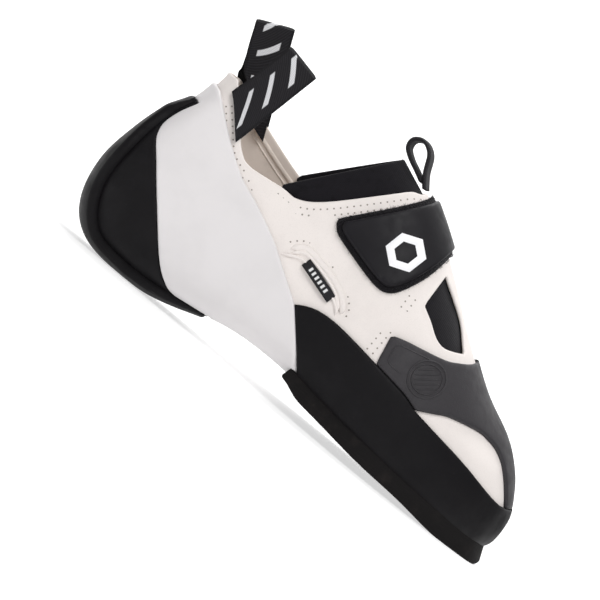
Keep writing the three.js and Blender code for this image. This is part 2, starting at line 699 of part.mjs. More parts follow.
// Webbing loop at the heel: up the outside of the collar, over, and down the inside
function makeHeelLoop(loop) {
	const lean = THREE.MathUtils.degToRad(loop.lean);
	const up = new THREE.Vector2(Math.sin(lean), Math.cos(lean));
	const along = new THREE.Vector2(up.y, -up.x);
	const foot = place(loop);
	const edge = polygon(loop.side === LATERAL ? COLLAR_OUTER : COLLAR_INNER);
	const middle = onSide(loop.side, foot.x, foot.y, 0).y;
	const pull = loop.reach - LOOP_FOLD;
	const shares = [-0.5, -0.17, 0.17, 0.5];
	const columns = shares.map((share) => {
		const start = foot.clone().addScaledVector(along, share * LOOP_WIDTH);
		let crest = loop.reach / 2;
		while (distanceTo(edge, start.x + up.x * crest, start.y + up.y * crest) > 0) {
			crest -= LOOP_STEP;
		}
		return { start, crest: crest + LOOP_RISE };
	});
	const leg = (climbs, rest, spread) => climbs.map((climb) => columns.map(({ start, crest }) => {
		const free = Math.max(climb, 0);
		const height = climb < 0 ? crest + climb * loop.drop : mix(crest, pull, climb);
		const seat = start.clone().addScaledVector(up, Math.min(height, crest));
		const touch = onSide(loop.side, seat.x, seat.y, rest);
		const spot = start.clone().addScaledVector(up, height);
		const release = ease(0, 0.3, free);
		const y = mix(touch.y, middle + loop.side * spread, ease(0, 1, free));
		return new THREE.Vector3(mix(touch.x, spot.x, release), y, mix(touch.z, spot.y, release));
	}));
	const climbs = [-1, -0.5, 0, 0.2, 0.5, 1];
	const outerLeg = leg(climbs, LOOP_ROOM + WEBBING / 2, LOOP_FOLD);
	const innerRest = UPPER_WALL + 2 * LOOP_ROOM + WEBBING / 2;
	const innerLeg = leg([...climbs].reverse(), -innerRest, -LOOP_FOLD);
	const bend = [45, 90, 135].map((degrees) => shares.map((share, index) => {
		const turn = THREE.MathUtils.degToRad(degrees);
		const spot = outerLeg.at(-1)[index].clone().lerp(innerLeg[0][index], (1 - Math.cos(turn)) / 2);
		const rise = Math.sin(turn) * LOOP_FOLD;
		return spot.add(new THREE.Vector3(up.x * rise, 0, up.y * rise));
	}));
	return fromMiddle([...outerLeg, ...bend, ...innerLeg], WEBBING, loop.side);
}

// Solid of even thickness about a grid of points
function fromMiddle(grid, thickness, facing) {
	const rows = grid.length;
	const columns = grid[0].length;
	const move = (sign) => grid.map((row, i) => row.map((point, j) => {
		const down = grid[Math.min(i + 1, rows - 1)][j].clone().sub(grid[Math.max(i - 1, 0)][j]);
		const right = row[Math.min(j + 1, columns - 1)].clone().sub(row[Math.max(j - 1, 0)]);
		const normal = down.cross(right).normalize();
		return point.clone().addScaledVector(normal, sign * facing * thickness / 2);
	}));
	return facing < 0 ? gridSolid(move(-1), move(1)) : gridSolid(move(1), move(-1));
}

function makeTongueLoop() {
	const curve = new THREE.SplineCurve(TONGUE_LOOP.map(place));
	const grid = [];
	const middle = sectionFrame(INSTEP_ROW).middle;
	const turn = THREE.MathUtils.degToRad(TONGUE_LOOP_TURN);
	const across = new THREE.Vector3(Math.sin(turn), Math.cos(turn), 0);
	for (let i = 0; i <= LOOP_STEPS; i += 1) {
		const spot = curve.getPoint(i / LOOP_STEPS);
		const centre = new THREE.Vector3(spot.x, middle, spot.y);
		grid.push([-0.5, 0.5].map((share) => centre.clone().addScaledVector(
			across, share * TONGUE_LOOP_WIDTH)));
	}
	return fromMiddle(grid, TONGUE_LOOP_WALL, LATERAL);
}

function addPiece(group, name, geometry, material = name) {
	const mesh = new THREE.Mesh(geometry, new THREE.MeshStandardMaterial(MATERIALS[material]));
	mesh.name = name;
	group.add(mesh);
}

const shoe = new THREE.Group();
shoe.name = 'climbing_shoe';
addPiece(shoe, 'upper', makeUpper());
addPiece(shoe, 'insole', makeInsole());
addPiece(shoe, 'tongue', makeTongue());
addPiece(shoe, 'rand', makeRand());
addPiece(shoe, 'outsole', makeOutsole());
addPiece(shoe, 'toe_patch', makeToePatch());
addPiece(shoe, 'heel_cup', makeHeelCup());
addPiece(shoe, 'heel_strip', makeHeelStrip());
addPiece(shoe, 'heel_band', makeHeelBand());
addPiece(shoe, 'strap_pad', makeStrapPad());
addPiece(shoe, 'strap', makeStrap());
addPiece(shoe, 'side_seam', makeSideSeam(), 'upper');
addPiece(shoe, 'side_tag', makeSideTag(), 'webbing');
addPiece(shoe, 'tongue_loop', makeTongueLoop(), 'webbing');
addPiece(shoe, 'heel_loop_outer', makeHeelLoop(HEEL_LOOPS[0]), 'webbing');
addPiece(shoe, 'heel_loop_inner', makeHeelLoop(HEEL_LOOPS[1]), 'webbing');

export default shoe;
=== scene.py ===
import math

import bpy
import numpy as np
from bpy.props import FloatProperty, FloatVectorProperty, PointerProperty
from mathutils import Matrix, Vector


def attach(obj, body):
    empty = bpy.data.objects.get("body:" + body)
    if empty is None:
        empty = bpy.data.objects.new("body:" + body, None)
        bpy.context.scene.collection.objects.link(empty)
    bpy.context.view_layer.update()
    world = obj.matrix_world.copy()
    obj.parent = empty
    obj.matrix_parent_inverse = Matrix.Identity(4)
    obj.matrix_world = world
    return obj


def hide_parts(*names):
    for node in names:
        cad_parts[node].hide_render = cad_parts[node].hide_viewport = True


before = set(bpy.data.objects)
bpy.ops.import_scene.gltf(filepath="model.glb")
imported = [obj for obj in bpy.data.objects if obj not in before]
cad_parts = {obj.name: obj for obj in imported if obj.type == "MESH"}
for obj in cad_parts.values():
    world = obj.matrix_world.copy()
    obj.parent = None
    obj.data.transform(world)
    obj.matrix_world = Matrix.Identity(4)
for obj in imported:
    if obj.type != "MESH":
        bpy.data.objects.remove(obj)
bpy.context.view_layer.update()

bl_info = {
    "name": "Climbing Shoe",
    "version": (1, 0, 0),
    "blender": (4, 5, 0),
    "location": "View3D > Sidebar > Climbing Shoe",
    "description": "Builds a strap climbing shoe round its measured solids",
    "category": "Add Mesh",
}

MM = 0.001

# The last in millimetres, as in the solids: +X to the toe, +Y to the inner side of the foot
LAST_LENGTH = 250
INSTEP_HEIGHT = 100
HEEL_HEIGHT = 100
BALL_WIDTH = 90
HEEL_WIDTH = 58
HEEL_REST = 36

# Faces of the layers, as distances out from the last
TONGUE_OUT = -2.1
CLOSE = 0.05
PATCH_TOP = 1.9
RUBBER_TOP = 2.1
PAD_TOP = 2.3
OVER_RUBBER = 2.4
STRAP_TOP = 4.0

# Thicknesses, insets and gaps
UPPER_WALL = 1.8
TONGUE_WALL = 2.3
TONGUE_RIPPLE = 0.25
OUTSOLE = 4.7
OUTSOLE_ROUND = 1.4
HEEL_STRIP = 4.2
TIP_REACH = 2.5
FLAT_DEPTH = 0.5
SOLE_SEAM_INSET = 9
STRAP_INSET = 2.6
STRAP_SEAT = 0.25
PAD_PUFF = 0.3
HEM_INSET = 2.6
HEM_DEPTH = 0.22
GAP = 0.3
RUBBER_JOINT = GAP * 0.3

# Where the heel strip gets thinner, under the heel and at its top, and where the outsole's
# tip comes down, in hundredths
STRIP_UNDER = (18, 32)
STRIP_TOP = (66, 79.5)
TIP_STRETCH = (92, 99)

LATERAL = -1
MEDIAL = 1
BACK_ROW = 14

# Faces that look down further than this belong to the underside
UNDERSIDE = -0.2

# Steps of the fine net over the last, with rows crowded at the toe's tip
TIP_ROWS = (0.12, 0.3, 0.55, 0.8)
ROW_STEPS = 12
QUARTER_STEPS = 44
DENSE_STEPS = 220
CURVE_STEPS = 10

# A corner nearer to a cut than this counts as beyond it
SLIVER = 0.02

# Step for slopes on the last, and the least slope that a distance is stretched by
NUDGE = 1e-3
LEAST_SLOPE = 0.3

# Half-round cords
BEAD_SPACING = 1.2
BEAD_SINK = 0.25
BEAD_STEPS = 8


def table(columns, rows):
    """Named columns of a short table; a row that ends early has 0 for the rest"""
    full = [list(row) + [0] * (len(columns) - len(row)) for row in rows]
    return {name: np.array([row[i] for row in full], float) for i, name in enumerate(columns)}


# Sections from the toe, round the heel, to the ankle, in hundredths of the last's sizes
SECTIONS = table(
    ("bottom_x", "bottom_z", "top_x", "top_z", "middle", "outer", "inner", "rear", "belly",
     "low", "high"), (
        (100, 12, 100, 12, 19, 0, 0, 0, 42, 2.0, 2.0),
        (99.7, 6, 99.6, 20, 19, 12, 10, 0, 40, 2.4, 2.0),
        (98.4, 2.5, 98, 28, 18, 21, 16, 0, 36, 3.2, 2.0),
        (95.6, 0, 95, 38, 16.5, 31, 23, 0, 31, 4.6, 2.0),
        (89.6, 0.7, 90, 48.3, 13, 42, 31, 0, 27, 5.6, 2.0),
        (80.8, 3.4, 81.6, 58.8, 9, 50, 40, 0, 25, 6.0, 2.0),
        (70.4, 5.2, 72.8, 74, 5.5, 54, 46, 0, 23, 6.0, 2.0),
        (59.6, 8, 64, 90.5, 3, 51, 46, 0, 22, 5.4, 2.1),
        (48, 10.3, 56, 104.5, 1.5, 50, 47, 30, 24, 4.6, 2.2),
        (36.8, 8.8, 49, 114.7, 0.5, 50, 49, 70, 28, 3.6, 2.4),
        (25.2, 2.3, 43, 121, 0, 52, 52, 95, 26, 3.0, 2.6),
        (14.4, 0, 37.6, 125.5, 0, 51, 51, 100, 24, 2.8, 2.6),
        (6, 2.5, 34, 127, 0, 50, 50, 100, 23, 2.7, 2.6),
        (1.6, 12.5, 31.5, 127, 0, 49, 49, 100, 24, 2.7, 2.6),
        (0, 31, 29, 127, 0, 48, 48, 100, 25, 2.7, 2.6),
        (1.2, 51.5, 27, 126.5, 0, 46, 46, 100, 26, 2.6, 2.6),
        (3.5, 71.5, 25, 125.5, 0, 44, 44, 100, 28, 2.5, 2.5),
        (5.4, 89, 22.5, 124.5, 0, 42, 42, 100, 32, 2.4, 2.4),
        (6, 111, 20.5, 124, 0, 40, 40, 100, 40, 2.2, 2.2),
    ))

# Outlines in the side view, in hundredths of the last's length and height.
# A row with corner 1 is a corner, the others lie on a smooth curve.
OUTLINE = ("x", "z", "corner")

COLLAR_OUTER = table(OUTLINE, (
    (-10, -32, 1), (-10, 100, 1), (8, 100, 1), (11.6, 91), (15.2, 81), (17.6, 75.2), (20.4, 72.5),
    (27.6, 74.4), (31.2, 75), (35.6, 82.5), (43.6, 103.2), (46.6, 111), (49.2, 115.2),
    (52, 133, 1), (108, 133, 1), (108, -32, 1),
))
COLLAR_INNER = table(OUTLINE, (
    (-10, -32, 1), (-10, 100, 1), (8, 100, 1), (11.6, 96), (19.6, 89), (27.2, 83), (30.8, 81.5),
    (34.4, 85), (39.2, 95.5), (43.6, 105.7), (46.8, 112.5), (49.2, 115.2),
    (52, 133, 1), (108, 133, 1), (108, -32, 1),
))
WINDOW = table(OUTLINE, (
    (61.8, 91, 1), (66.4, 84), (70, 77.7), (73.7, 68.2, 1), (72, 66.2), (69.8, 64.7),
    (67.6, 66), (64.8, 70.5), (62, 74.2, 1),
))
TONGUE_OUTER = table(OUTLINE, (
    (27, 75.5, 1), (41.6, 121.5, 1), (45, 143, 1), (84, 143, 1), (78.8, 59.2, 1), (71.6, 55.7),
    (63.6, 59.2), (57.6, 73.2), (51.6, 85), (44.8, 87), (37.6, 73), (32, 66), (28.4, 67, 1),
))
TONGUE_INNER = table(OUTLINE, (
    (28, 82, 1), (41.6, 121.5, 1), (45, 143, 1), (84, 143, 1), (78.8, 59.2, 1), (71.6, 59),
    (63.6, 65), (57.6, 79), (51.6, 88), (44.8, 92), (37.6, 81), (33.6, 75), (29.6, 75, 1),
))
RAND_OUTER = table(OUTLINE, (
    (43.2, 36.2, 1), (45.2, 39), (47.6, 41), (51.6, 41.7), (57.6, 40.4), (63.6, 38.4),
    (69.6, 36.2), (72.8, 33.8), (76.8, 32.2), (86.4, 28.4), (94.8, 23.6), (98, 23.2),
    (102.4, 25.2), (108, 26, 1), (108, -32, 1), (62.4, -32, 1), (53.6, 7.7, 1),
))
RAND_INNER = table(OUTLINE, (
    (44.8, 34, 1), (47.2, 37.2), (50.4, 39.2), (54.4, 39.7), (62.4, 38.2), (69.6, 36.2),
    (76.8, 33.2), (86.4, 29.7), (94.8, 25.7), (98, 24.5), (102.4, 25.2),
    (108, 26, 1), (108, -32, 1), (62.4, -32, 1), (53.6, 7.7, 1),
))
BAND_FRONT = (
    (56, 5, 1), (61.6, -32, 1), (33, -32, 1), (32, 6.7, 1), (28, 4.9), (24.8, 4.4), (22, 5.8),
    (17.8, 13.7), (9.9, 35.6), (6.2, 46.6), (4, 53.6), (3.3, 58.2), (3.3, 63.2), (4.3, 71.2),
    (5.9, 79.5, 1), (-10, 79.5, 1),
)
BAND_OUTER = table(OUTLINE, (
    (-10, 91.7, 1), (4.4, 91.7), (7.6, 89.7, 1), (14.2, 76.5), (20.4, 66.4), (25.6, 61.2),
    (32.4, 53.2), (37.6, 45), (43, 36.4, 1), *BAND_FRONT,
))
BAND_INNER = table(OUTLINE, (
    (-10, 91.7, 1), (4.4, 91.7), (7.6, 89.7, 1), (14.2, 79), (20.4, 70), (25.6, 64),
    (32.4, 55.7), (38.4, 45), (44.7, 34.3, 1), *BAND_FRONT,
))
HEEL_CUP = table(OUTLINE, (
    (-10, 79.5, 1), (6.4, 79.5, 1), (9.8, 55, 1), (25.6, 14, 1), (32, 6.7, 1), (33, -32, 1),
    (-10, -32, 1),
))
STRIP = table(OUTLINE, (
    (5.6, 79.5, 1), (3.9, 70.2), (2.9, 61.2), (2.3, 53.2), (1.9, 43.2), (1.7, 33.2), (2, 24.2),
    (3, 16.7), (4.6, 10.2), (6.8, 5.6), (9.6, 3.8), (13.6, 2.9), (18.4, 3.2), (23.2, 4.4),
    (28, 6), (31.2, 7, 1), (33, -32, 1), (-10, -32, 1), (-10, 79.5, 1),
))
PATCH_OUTER = table(OUTLINE, (
    (60.7, 53.7, 1), (63.6, 56), (70.8, 59.7), (73.6, 62.6), (75.8, 65.8), (76.4, 68.2),
    (75.7, 70.8), (74.4, 75.2, 1), (74.4, 93, 1), (108, 93, 1), (108, 13, 1), (97.8, 13, 1),
    (97.8, 23.6, 1), (96, 29.2), (94, 34.6), (92, 38.9), (89.6, 42.1), (87.2, 43.5),
    (84.4, 43.8), (78.8, 41), (76, 37.7), (73, 34, 1), (68.8, 23, 1), (62, 37, 1),
))
PATCH_INNER = table(OUTLINE, (
    (62.4, 53, 1), (65.6, 56.7), (73.2, 63.2), (75.4, 66.6), (76.1, 68.7), (75.7, 70.8),
    (74.4, 75.2, 1), (74.4, 93, 1), (108, 93, 1), (108, 13, 1), (63, 13, 1),
))
STRAP_OUTER = table(OUTLINE, (
    (39.3, 79.5), (40, 82), (42, 88), (45.6, 98.7), (48.8, 109), (51.2, 118, 1), (53.8, 128, 1),
    (62.5, 114, 1), (59.9, 104, 1), (59.7, 94), (59, 84.7), (57.8, 76.7), (56.4, 70.4),
    (55, 67.4), (53.2, 66.4), (49.6, 67.8), (42, 73), (40, 76),
))
STRAP_INNER = table(OUTLINE, (
    (51.2, 118, 1), (48, 106), (44.4, 91, 1), (55.6, 78.7, 1), (58, 90), (59.9, 104, 1),
    (62.5, 114, 1), (53.8, 128, 1),
))
SOLE = table(OUTLINE, (
    (50.4, 14, 1), (61.6, 10.4), (73.6, 8), (83.6, 6), (94, 3.8), (99.2, 4.2), (108, 5, 1),
    (108, -32, 1), (50.4, -32, 1),
))

# Soft folds of the cloth, pressed in or raised along a line in the side view
FOLDS = table(("side", "x1", "z1", "x2", "z2", "width", "depth"), (
    (LATERAL, 41, 63, 37, 73, 7, 0.5),
    (LATERAL, 47, 58, 55, 63, 6, 0.55),
    (LATERAL, 50, 47, 56, 56, 6, -0.5),
    (LATERAL, 58, 56, 62, 66, 5, 0.45),
    (LATERAL, 24, 68, 33, 70, 6, 0.4),
    (LATERAL, 36, 50, 46, 47, 8, -0.45),
    (LATERAL, 82, 36, 92, 34, 6, 0.4),
    (LATERAL, 78, 38, 84, 41, 4, -0.3),
    (LATERAL, 31, 62, 34, 72, 5, -0.4),
    (MEDIAL, 44, 60, 52, 74, 7, 0.6),
    (MEDIAL, 36, 58, 40, 76, 8, -0.5),
    (MEDIAL, 54, 50, 60, 66, 6, 0.5),
    (MEDIAL, 28, 68, 34, 74, 6, 0.4),
))

# Places of small parts, in hundredths
SIDE_SEAM = table(("x", "z"), (
    (36, 55.2), (37.2, 58.2), (38.8, 60), (41.6, 59), (45.6, 56.6), (48.4, 53.6), (50.4, 49.4),
    (50.8, 46.5),
))
SEAM_BEADS = table(("x", "z"), (
    (35.2, 50.3), (36.4, 52), (38, 53.8), (39.6, 54.4), (42, 53.2), (45, 51.6), (48, 49.4),
    (49.8, 46.4), (50.2, 44),
))
HEEL_LOOPS = table(("side", "x", "z", "reach", "lean", "drop"), (
    (LATERAL, 12.2, 84.5, 42, 12, 5),
    (MEDIAL, 13.4, 92, 42, -24, 9),
))
TONGUE_LOOP = table(("x", "z"), (
    (48.4, 115.4), (46.6, 121.6), (45, 129.5), (42.8, 132.6), (41, 130.4), (41, 126),
    (42.6, 122.6), (45, 119.7), (47, 117.2),
))
PATCH_FIELD = table(("x", "z"), (
    (66.4, 42.4), (63.4, 43.2), (62.6, 49), (63.2, 52.2), (66, 54), (70, 56),
))
TAG_PLACE = (43.8, 51.6)
TAG_TILT = -16
TAG_LENGTH = 21
TAG_HEIGHT = 5
FIBRES = 2600
FIBRE_STRETCH = 2.4
DISC_PLACE = (70.8, 47.7)
MARK_PLACE = (52.8, 85.8)
LOOP_WIDTH = 19
LOOP_FOLD = 3
LOOP_STEP = 0.5
LOOP_ROOM = 1.2
LOOP_RISE = 2
WEBBING = 1.3
TONGUE_LOOP_WIDTH = 10
TONGUE_LOOP_WALL = 2
TONGUE_LOOP_TURN = 16


def mix(a, b, share):
    return a + (b - a) * share


def ease(a, b, value):
    share = np.clip((value - a) / (b - a), 0, 1)
    return share * share * (3 - 2 * share)


def unit(vectors):
    return vectors / np.maximum(np.linalg.norm(vectors, axis=-1, keepdims=True), 1e-9)


# Places in the side view, from shares of the last


def front_share(x):
    return ease(0.15, 0.5, x / 100)


def lift(x):
    heel = OVER_RUBBER + HEEL_STRIP
    front = OVER_RUBBER + OUTSOLE
    return mix(heel, front, front_share(x)) - FLAT_DEPTH


def place(x, z):
    x, z = np.asarray(x, float), np.asarray(z, float)
    height = mix(HEEL_HEIGHT, INSTEP_HEIGHT, front_share(x))
    return np.stack([x / 100 * LAST_LENGTH - HEEL_REST, lift(x) + z / 100 * height], -1)


def spline(before, start, end, after, t):
    """Smooth curve through evenly counted values"""
    rise, fall = (end - before) / 2, (after - start) / 2
    bend = 3 * (end - start) - 2 * rise - fall
    twist = rise + fall - 2 * (end - start)
    return start + t * (rise + t * (bend + t * twist))


def section_frame(u):
    """A section's bottom, top, middle, half widths and roundness"""
    last = len(SECTIONS["low"]) - 1
    index = np.clip(np.floor(u).astype(int), 0, last - 1)
    near = [np.clip(index + k, 0, last) for k in (-1, 0, 1, 2)]
    row = {name: spline(*(values[i] for i in near), u - index) for name, values in SECTIONS.items()}
    width = mix(BALL_WIDTH, HEEL_WIDTH, row["rear"] / 100) / 100
    return {
        "bottom": place(row["bottom_x"], row["bottom_z"]),
        "top": place(row["top_x"], row["top_z"]),
        "middle": row["middle"] / 100 * BALL_WIDTH,
        "outer": np.maximum(row["outer"], 0) * width,
        "inner": np.maximum(row["inner"], 0) * width,
        "belly": row["belly"] / 100,
        "low": row["low"],
        "high": row["high"],
    }


def last_points(u, v):
    """Points of the last: u counts rows from the toe, v goes once round the section,
    from the bottom's middle over the outer side and the top back to the bottom"""
    f = section_frame(u)
    lateral = v <= 0.5
    climb = np.where(lateral, 2 * v, 2 - 2 * v)
    angle = np.where(climb < 0.5, climb, climb - 0.5) * np.pi
    sine, cosine = np.abs(np.sin(angle)), np.abs(np.cos(angle))
    under = climb < 0.5
    up = np.where(under, f["belly"] * (1 - cosine ** (2 / f["low"])),
                  mix(f["belly"], 1, sine ** (2 / f["high"])))
    out = np.where(under, sine ** (2 / f["low"]), cosine ** (2 / f["high"]))
    half = np.where(lateral, -f["outer"], f["inner"])
    side = mix(f["bottom"], f["top"], up[..., None])
    return np.stack([side[..., 0], f["middle"] + out * half, side[..., 1]], -1)


def last_normals(u, v):
    row = np.clip(u, 2 * NUDGE, len(SECTIONS["low"]) - 1 - 2 * NUDGE)
    along = last_points(row + NUDGE, v) - last_points(row - NUDGE, v)
    round_it = last_points(row, (v + NUDGE) % 1) - last_points(row, (v - NUDGE) % 1)
    return unit(np.cross(round_it, along))


# Sheets: triangles over the last, with named values at each corner


class Sheet:
    """Triangles, with the values that each of their corners carries"""

    def __init__(self, values, faces):
        self.values = values
        self.faces = faces

    def __getitem__(self, name):
        return self.values[name]

    def split(self, name, level, drop=False):
        """Cuts the triangles along the line where a value has this level"""
        value = self.values[name] - level
        value = np.where(np.abs(value) < SLIVER, SLIVER, value)
        over = value > 0
        count = over[self.faces].sum(1)
        crossed = self.faces[(count == 1) | (count == 2)]
        lone = np.where(over[crossed].sum(1) == 1, over[crossed].argmax(1),
                        (~over[crossed]).argmax(1))
        pick = np.arange(len(crossed))
        a, b, c = (crossed[pick, (lone + k) % 3] for k in range(3))
        total = len(value)
        low = np.minimum(np.concatenate([a, a]), np.concatenate([b, c]))
        high = np.maximum(np.concatenate([a, a]), np.concatenate([b, c]))
        keys, inverse = np.unique(low.astype(np.int64) * total + high, return_inverse=True)
        low, high = keys // total, keys % total
        share = value[low] / (value[low] - value[high])
        new = total + inverse
        ab, ac = new[:len(a)], new[len(a):]
        values = {}
        for key, old in self.values.items():
            weight = share if old.ndim == 1 else share[:, None]
            values[key] = np.concatenate([old, mix(old[low], old[high], weight)])
        values[name][total:] = level
        alone = np.stack([a, ab, ac], 1)
        rest = np.concatenate([np.stack([ab, b, c], 1), np.stack([ab, c, ac], 1)])
        lone_over = over[a]
        under_faces = [self.faces[count == 0], alone[~lone_over], rest[np.tile(lone_over, 2)]]
        over_faces = [self.faces[count == 3], alone[lone_over], rest[np.tile(~lone_over, 2)]]
        faces = np.concatenate(under_faces if drop else under_faces + over_faces)
        return Sheet(values, faces).compact()

    def compact(self):
        used, inverse = np.unique(self.faces, return_inverse=True)
        values = {key: value[used] for key, value in self.values.items()}
        return Sheet(values, inverse.reshape(-1, 3))

    def rim(self):
        """Directed edges that only one triangle has"""
        total = int(self.faces.max()) + 1
        pairs = np.concatenate([self.faces[:, [k, (k + 1) % 3]] for k in range(3)])
        keys = pairs[:, 0].astype(np.int64) * total + pairs[:, 1]
        back = pairs[:, 1].astype(np.int64) * total + pairs[:, 0]
        return pairs[~np.isin(keys, back)]


def make_net():
    """The last as one fine net, its columns evenly spaced round each section"""
    last = len(SECTIONS["low"]) - 1
    even_rows = np.arange(ROW_STEPS, last * ROW_STEPS + 1) / ROW_STEPS
    rows = np.concatenate([TIP_ROWS, even_rows])
    dense = np.linspace(0, 1, DENSE_STEPS)
    dense = dense ** 3 / (dense ** 3 + (1 - dense) ** 3)
    columns = []
    for quarter in range(4):
        v = np.broadcast_to((quarter + dense) / 4, (len(rows), len(dense)))
        u = np.broadcast_to(rows[:, None], v.shape)
        points = last_points(u, np.minimum(v, 1 - 1e-9))
        steps = np.linalg.norm(np.diff(points, axis=1), axis=2)
        reach = np.concatenate([np.zeros((len(rows), 1)), np.cumsum(steps, 1)], 1)
        wanted = np.linspace(0, 1, QUARTER_STEPS, endpoint=False)
        columns.append(np.stack([np.interp(wanted * r[-1], r, v[0]) for r in reach]))
    v = np.concatenate(columns, 1)
    u = np.broadcast_to(rows[:, None], v.shape)
    tip = last_points(np.zeros(1), np.zeros(1))
    points = np.concatenate([tip, last_points(u, v).reshape(-1, 3)])
    normals = np.concatenate([[[1.0, 0.0, 0.0]], last_normals(u, v).reshape(-1, 3)])
    count = v.shape[1]
    i, j = np.meshgrid(np.arange(len(rows) - 1), np.arange(count), indexing="ij")
    a, b = 1 + i * count + j, 1 + (i + 1) * count + j
    right = np.where(j + 1 < count, j + 1, 0)
    c, d = 1 + (i + 1) * count + right, 1 + i * count + right
    outer = (j < count / 2)[..., None]
    first = np.where(outer, np.stack([a, c, b], -1), np.stack([a, d, b], -1)).reshape(-1, 3)
    second = np.where(outer, np.stack([a, d, c], -1), np.stack([b, d, c], -1)).reshape(-1, 3)
    ring = np.arange(count)
    cap = np.stack([np.zeros(count, int), 1 + (ring + 1) % count, 1 + ring], 1)
    values = {
        "point": points,
        "normal": normals,
        "u": np.concatenate([[0.0], u.ravel()]),
        "v": np.concatenate([[0.0], v.ravel()]),
    }
    return Sheet(values, np.concatenate([cap, first, second]))


def outline_points(rows, closed=True):
    """Points along an outline, smooth except at its corners"""
    points = place(rows["x"], rows["z"])
    corner = rows.get("corner", np.zeros(len(points)))
    count = len(points)
    result = []
    for i in range(count if closed else count - 1):
        after_this = (i + 1) % count
        before = i if corner[i] or (not closed and i == 0) else (i - 1) % count
        stop = corner[after_this] or (not closed and after_this == count - 1)
        after = after_this if stop else (after_this + 1) % count
        number = 1 if corner[i] and corner[after_this] else CURVE_STEPS
        for k in range(number):
            result.append(spline(points[before], points[i], points[after_this], points[after],
                                 k / number))
    if not closed:
        result.append(points[-1])
    return np.array(result)


def distance_to(outline, points):
    """Distance to a closed outline, negative inside, and the way towards it"""
    a, b = outline, np.roll(outline, -1, 0)
    edge = b - a
    length = np.maximum((edge ** 2).sum(1), 1e-12)
    distance = np.empty(len(points))
    way = np.empty((len(points), 2))
    for start in range(0, len(points), 4096):
        p = points[start:start + 4096, None, :]
        t = np.clip(((p - a) * edge).sum(2) / length, 0, 1)
        apart = a + t[..., None] * edge - p
        gap = (apart ** 2).sum(2)
        nearest = gap.argmin(1)
        pick = np.arange(len(nearest))
        stop = start + len(nearest)
        distance[start:stop] = np.sqrt(gap[pick, nearest])
        way[start:stop] = apart[pick, nearest]
        crosses = (a[:, 1] > p[..., 1]) != (b[:, 1] > p[..., 1])
        rise = np.where(edge[:, 1] == 0, 1e-12, edge[:, 1])
        left = p[..., 0] < a[:, 0] + edge[:, 0] * (p[..., 1] - a[:, 1]) / rise
        inside = (crosses & left).sum(1) % 2 == 1
        distance[start:stop] *= np.where(inside, -1, 1)
    return distance, way


def side_field(sheet, outer, inner=None):
    """Distance along the last to an outline in the side view, negative inside"""
    points, normals = sheet["point"], unit(sheet["normal"])
    result = np.empty(len(points))
    lateral = sheet["v"] <= 0.5
    for chosen, rows in ((lateral, outer), (~lateral, outer if inner is None else inner)):
        if chosen.any():
            distance, way = distance_to(outline_points(rows), points[chosen][:, [0, 2]])
            way = unit(way)
            facing = (way * normals[chosen][:, [0, 2]]).sum(1)
            slope = np.sqrt(np.maximum(1 - facing ** 2, LEAST_SLOPE ** 2))
            result[chosen] = distance / slope
    return result


def plan_outline():
    """Outline of the last seen from above, closed round the heel's back"""
    rows = np.concatenate([[0], np.arange(2, 2 * BACK_ROW) / 2])
    f = section_frame(rows)
    x = mix(f["bottom"][:, 0], f["top"][:, 0], f["belly"])
    v = np.arange(12, -1, -1) / 48
    back = np.full(len(v), float(BACK_ROW))
    outer = np.concatenate([np.stack([x, f["middle"] - f["outer"]], 1),
                            last_points(back, v)[:, :2]])
    inner = np.concatenate([np.stack([x, f["middle"] + f["inner"]], 1),
                            last_points(back, (1 - v) % 1)[:, :2]])
    return np.concatenate([outer, inner[::-1]])


def sole_opening(net):
    distance, _ = distance_to(plan_outline(), net["point"][:, :2])
    return np.where(net["normal"][:, 2] > UNDERSIDE, SOLE_SEAM_INSET, distance + SOLE_SEAM_INSET)


NET = make_net()
COLLAR_EDGE = side_field(NET, COLLAR_OUTER, COLLAR_INNER)
WINDOW_EDGE = side_field(NET, WINDOW)
RAND_EDGE = side_field(NET, RAND_OUTER, RAND_INNER)
BAND_EDGE = side_field(NET, BAND_OUTER, BAND_INNER)
PATCH_EDGE = side_field(NET, PATCH_OUTER, PATCH_INNER)
STRAP_EDGE = side_field(NET, STRAP_OUTER, STRAP_INNER)


def cut(edge, radius, **extra):
    """The part of the net inside an edge, with rings near the edge for its rounding"""
    sheet = Sheet({**NET.values, "edge": edge, **extra}, NET.faces)
    sheet = sheet.split("edge", 0, drop=True)
    for share in (0.12, 0.38, 0.75):
        sheet = sheet.split("edge", -share * radius)
    return sheet


def rounding(sheet, radius, least=0.3):
    """Share of the full thickness: 1 inside, falling round the edge to the least share"""
    depth = np.clip(-sheet["edge"] / radius, 0, 1)
    return mix(least, 1, np.sqrt(1 - (1 - depth) ** 2))


def close_up(sheet, inner, outer):
    """Closed solid between two faces of a sheet: points, triangles and which are inside"""
    count = len(inner)
    rim = sheet.rim()
    start, end = rim[:, 0], rim[:, 1]
    walls = np.concatenate([np.stack([start + count, end, start], 1),
                            np.stack([start + count, end + count, end], 1)])
    faces = np.concatenate([sheet.faces, sheet.faces[:, ::-1] + count, walls])
    kind = np.concatenate([np.zeros(len(sheet.faces), int), np.ones(len(sheet.faces), int),
                           np.full(len(walls), 2)])
    return np.concatenate([outer, inner]), faces, kind


def layer(sheet, low, high, radius, least=0.3, both=False):
    """Layer between two distances from the last, its edges rounded on one face or both"""
    share = rounding(sheet, radius, least)
    low, high = np.broadcast_to(low, share.shape), np.broadcast_to(high, share.shape)
    middle = (low + high) / 2
    top = mix(middle, high, share) if both else mix(low, high, share)
    bottom = mix(middle, low, share) if both else low
    normal = unit(sheet["normal"])
    return close_up(sheet, sheet["point"] + normal * bottom[:, None],
                    sheet["point"] + normal * top[:, None])


# Objects


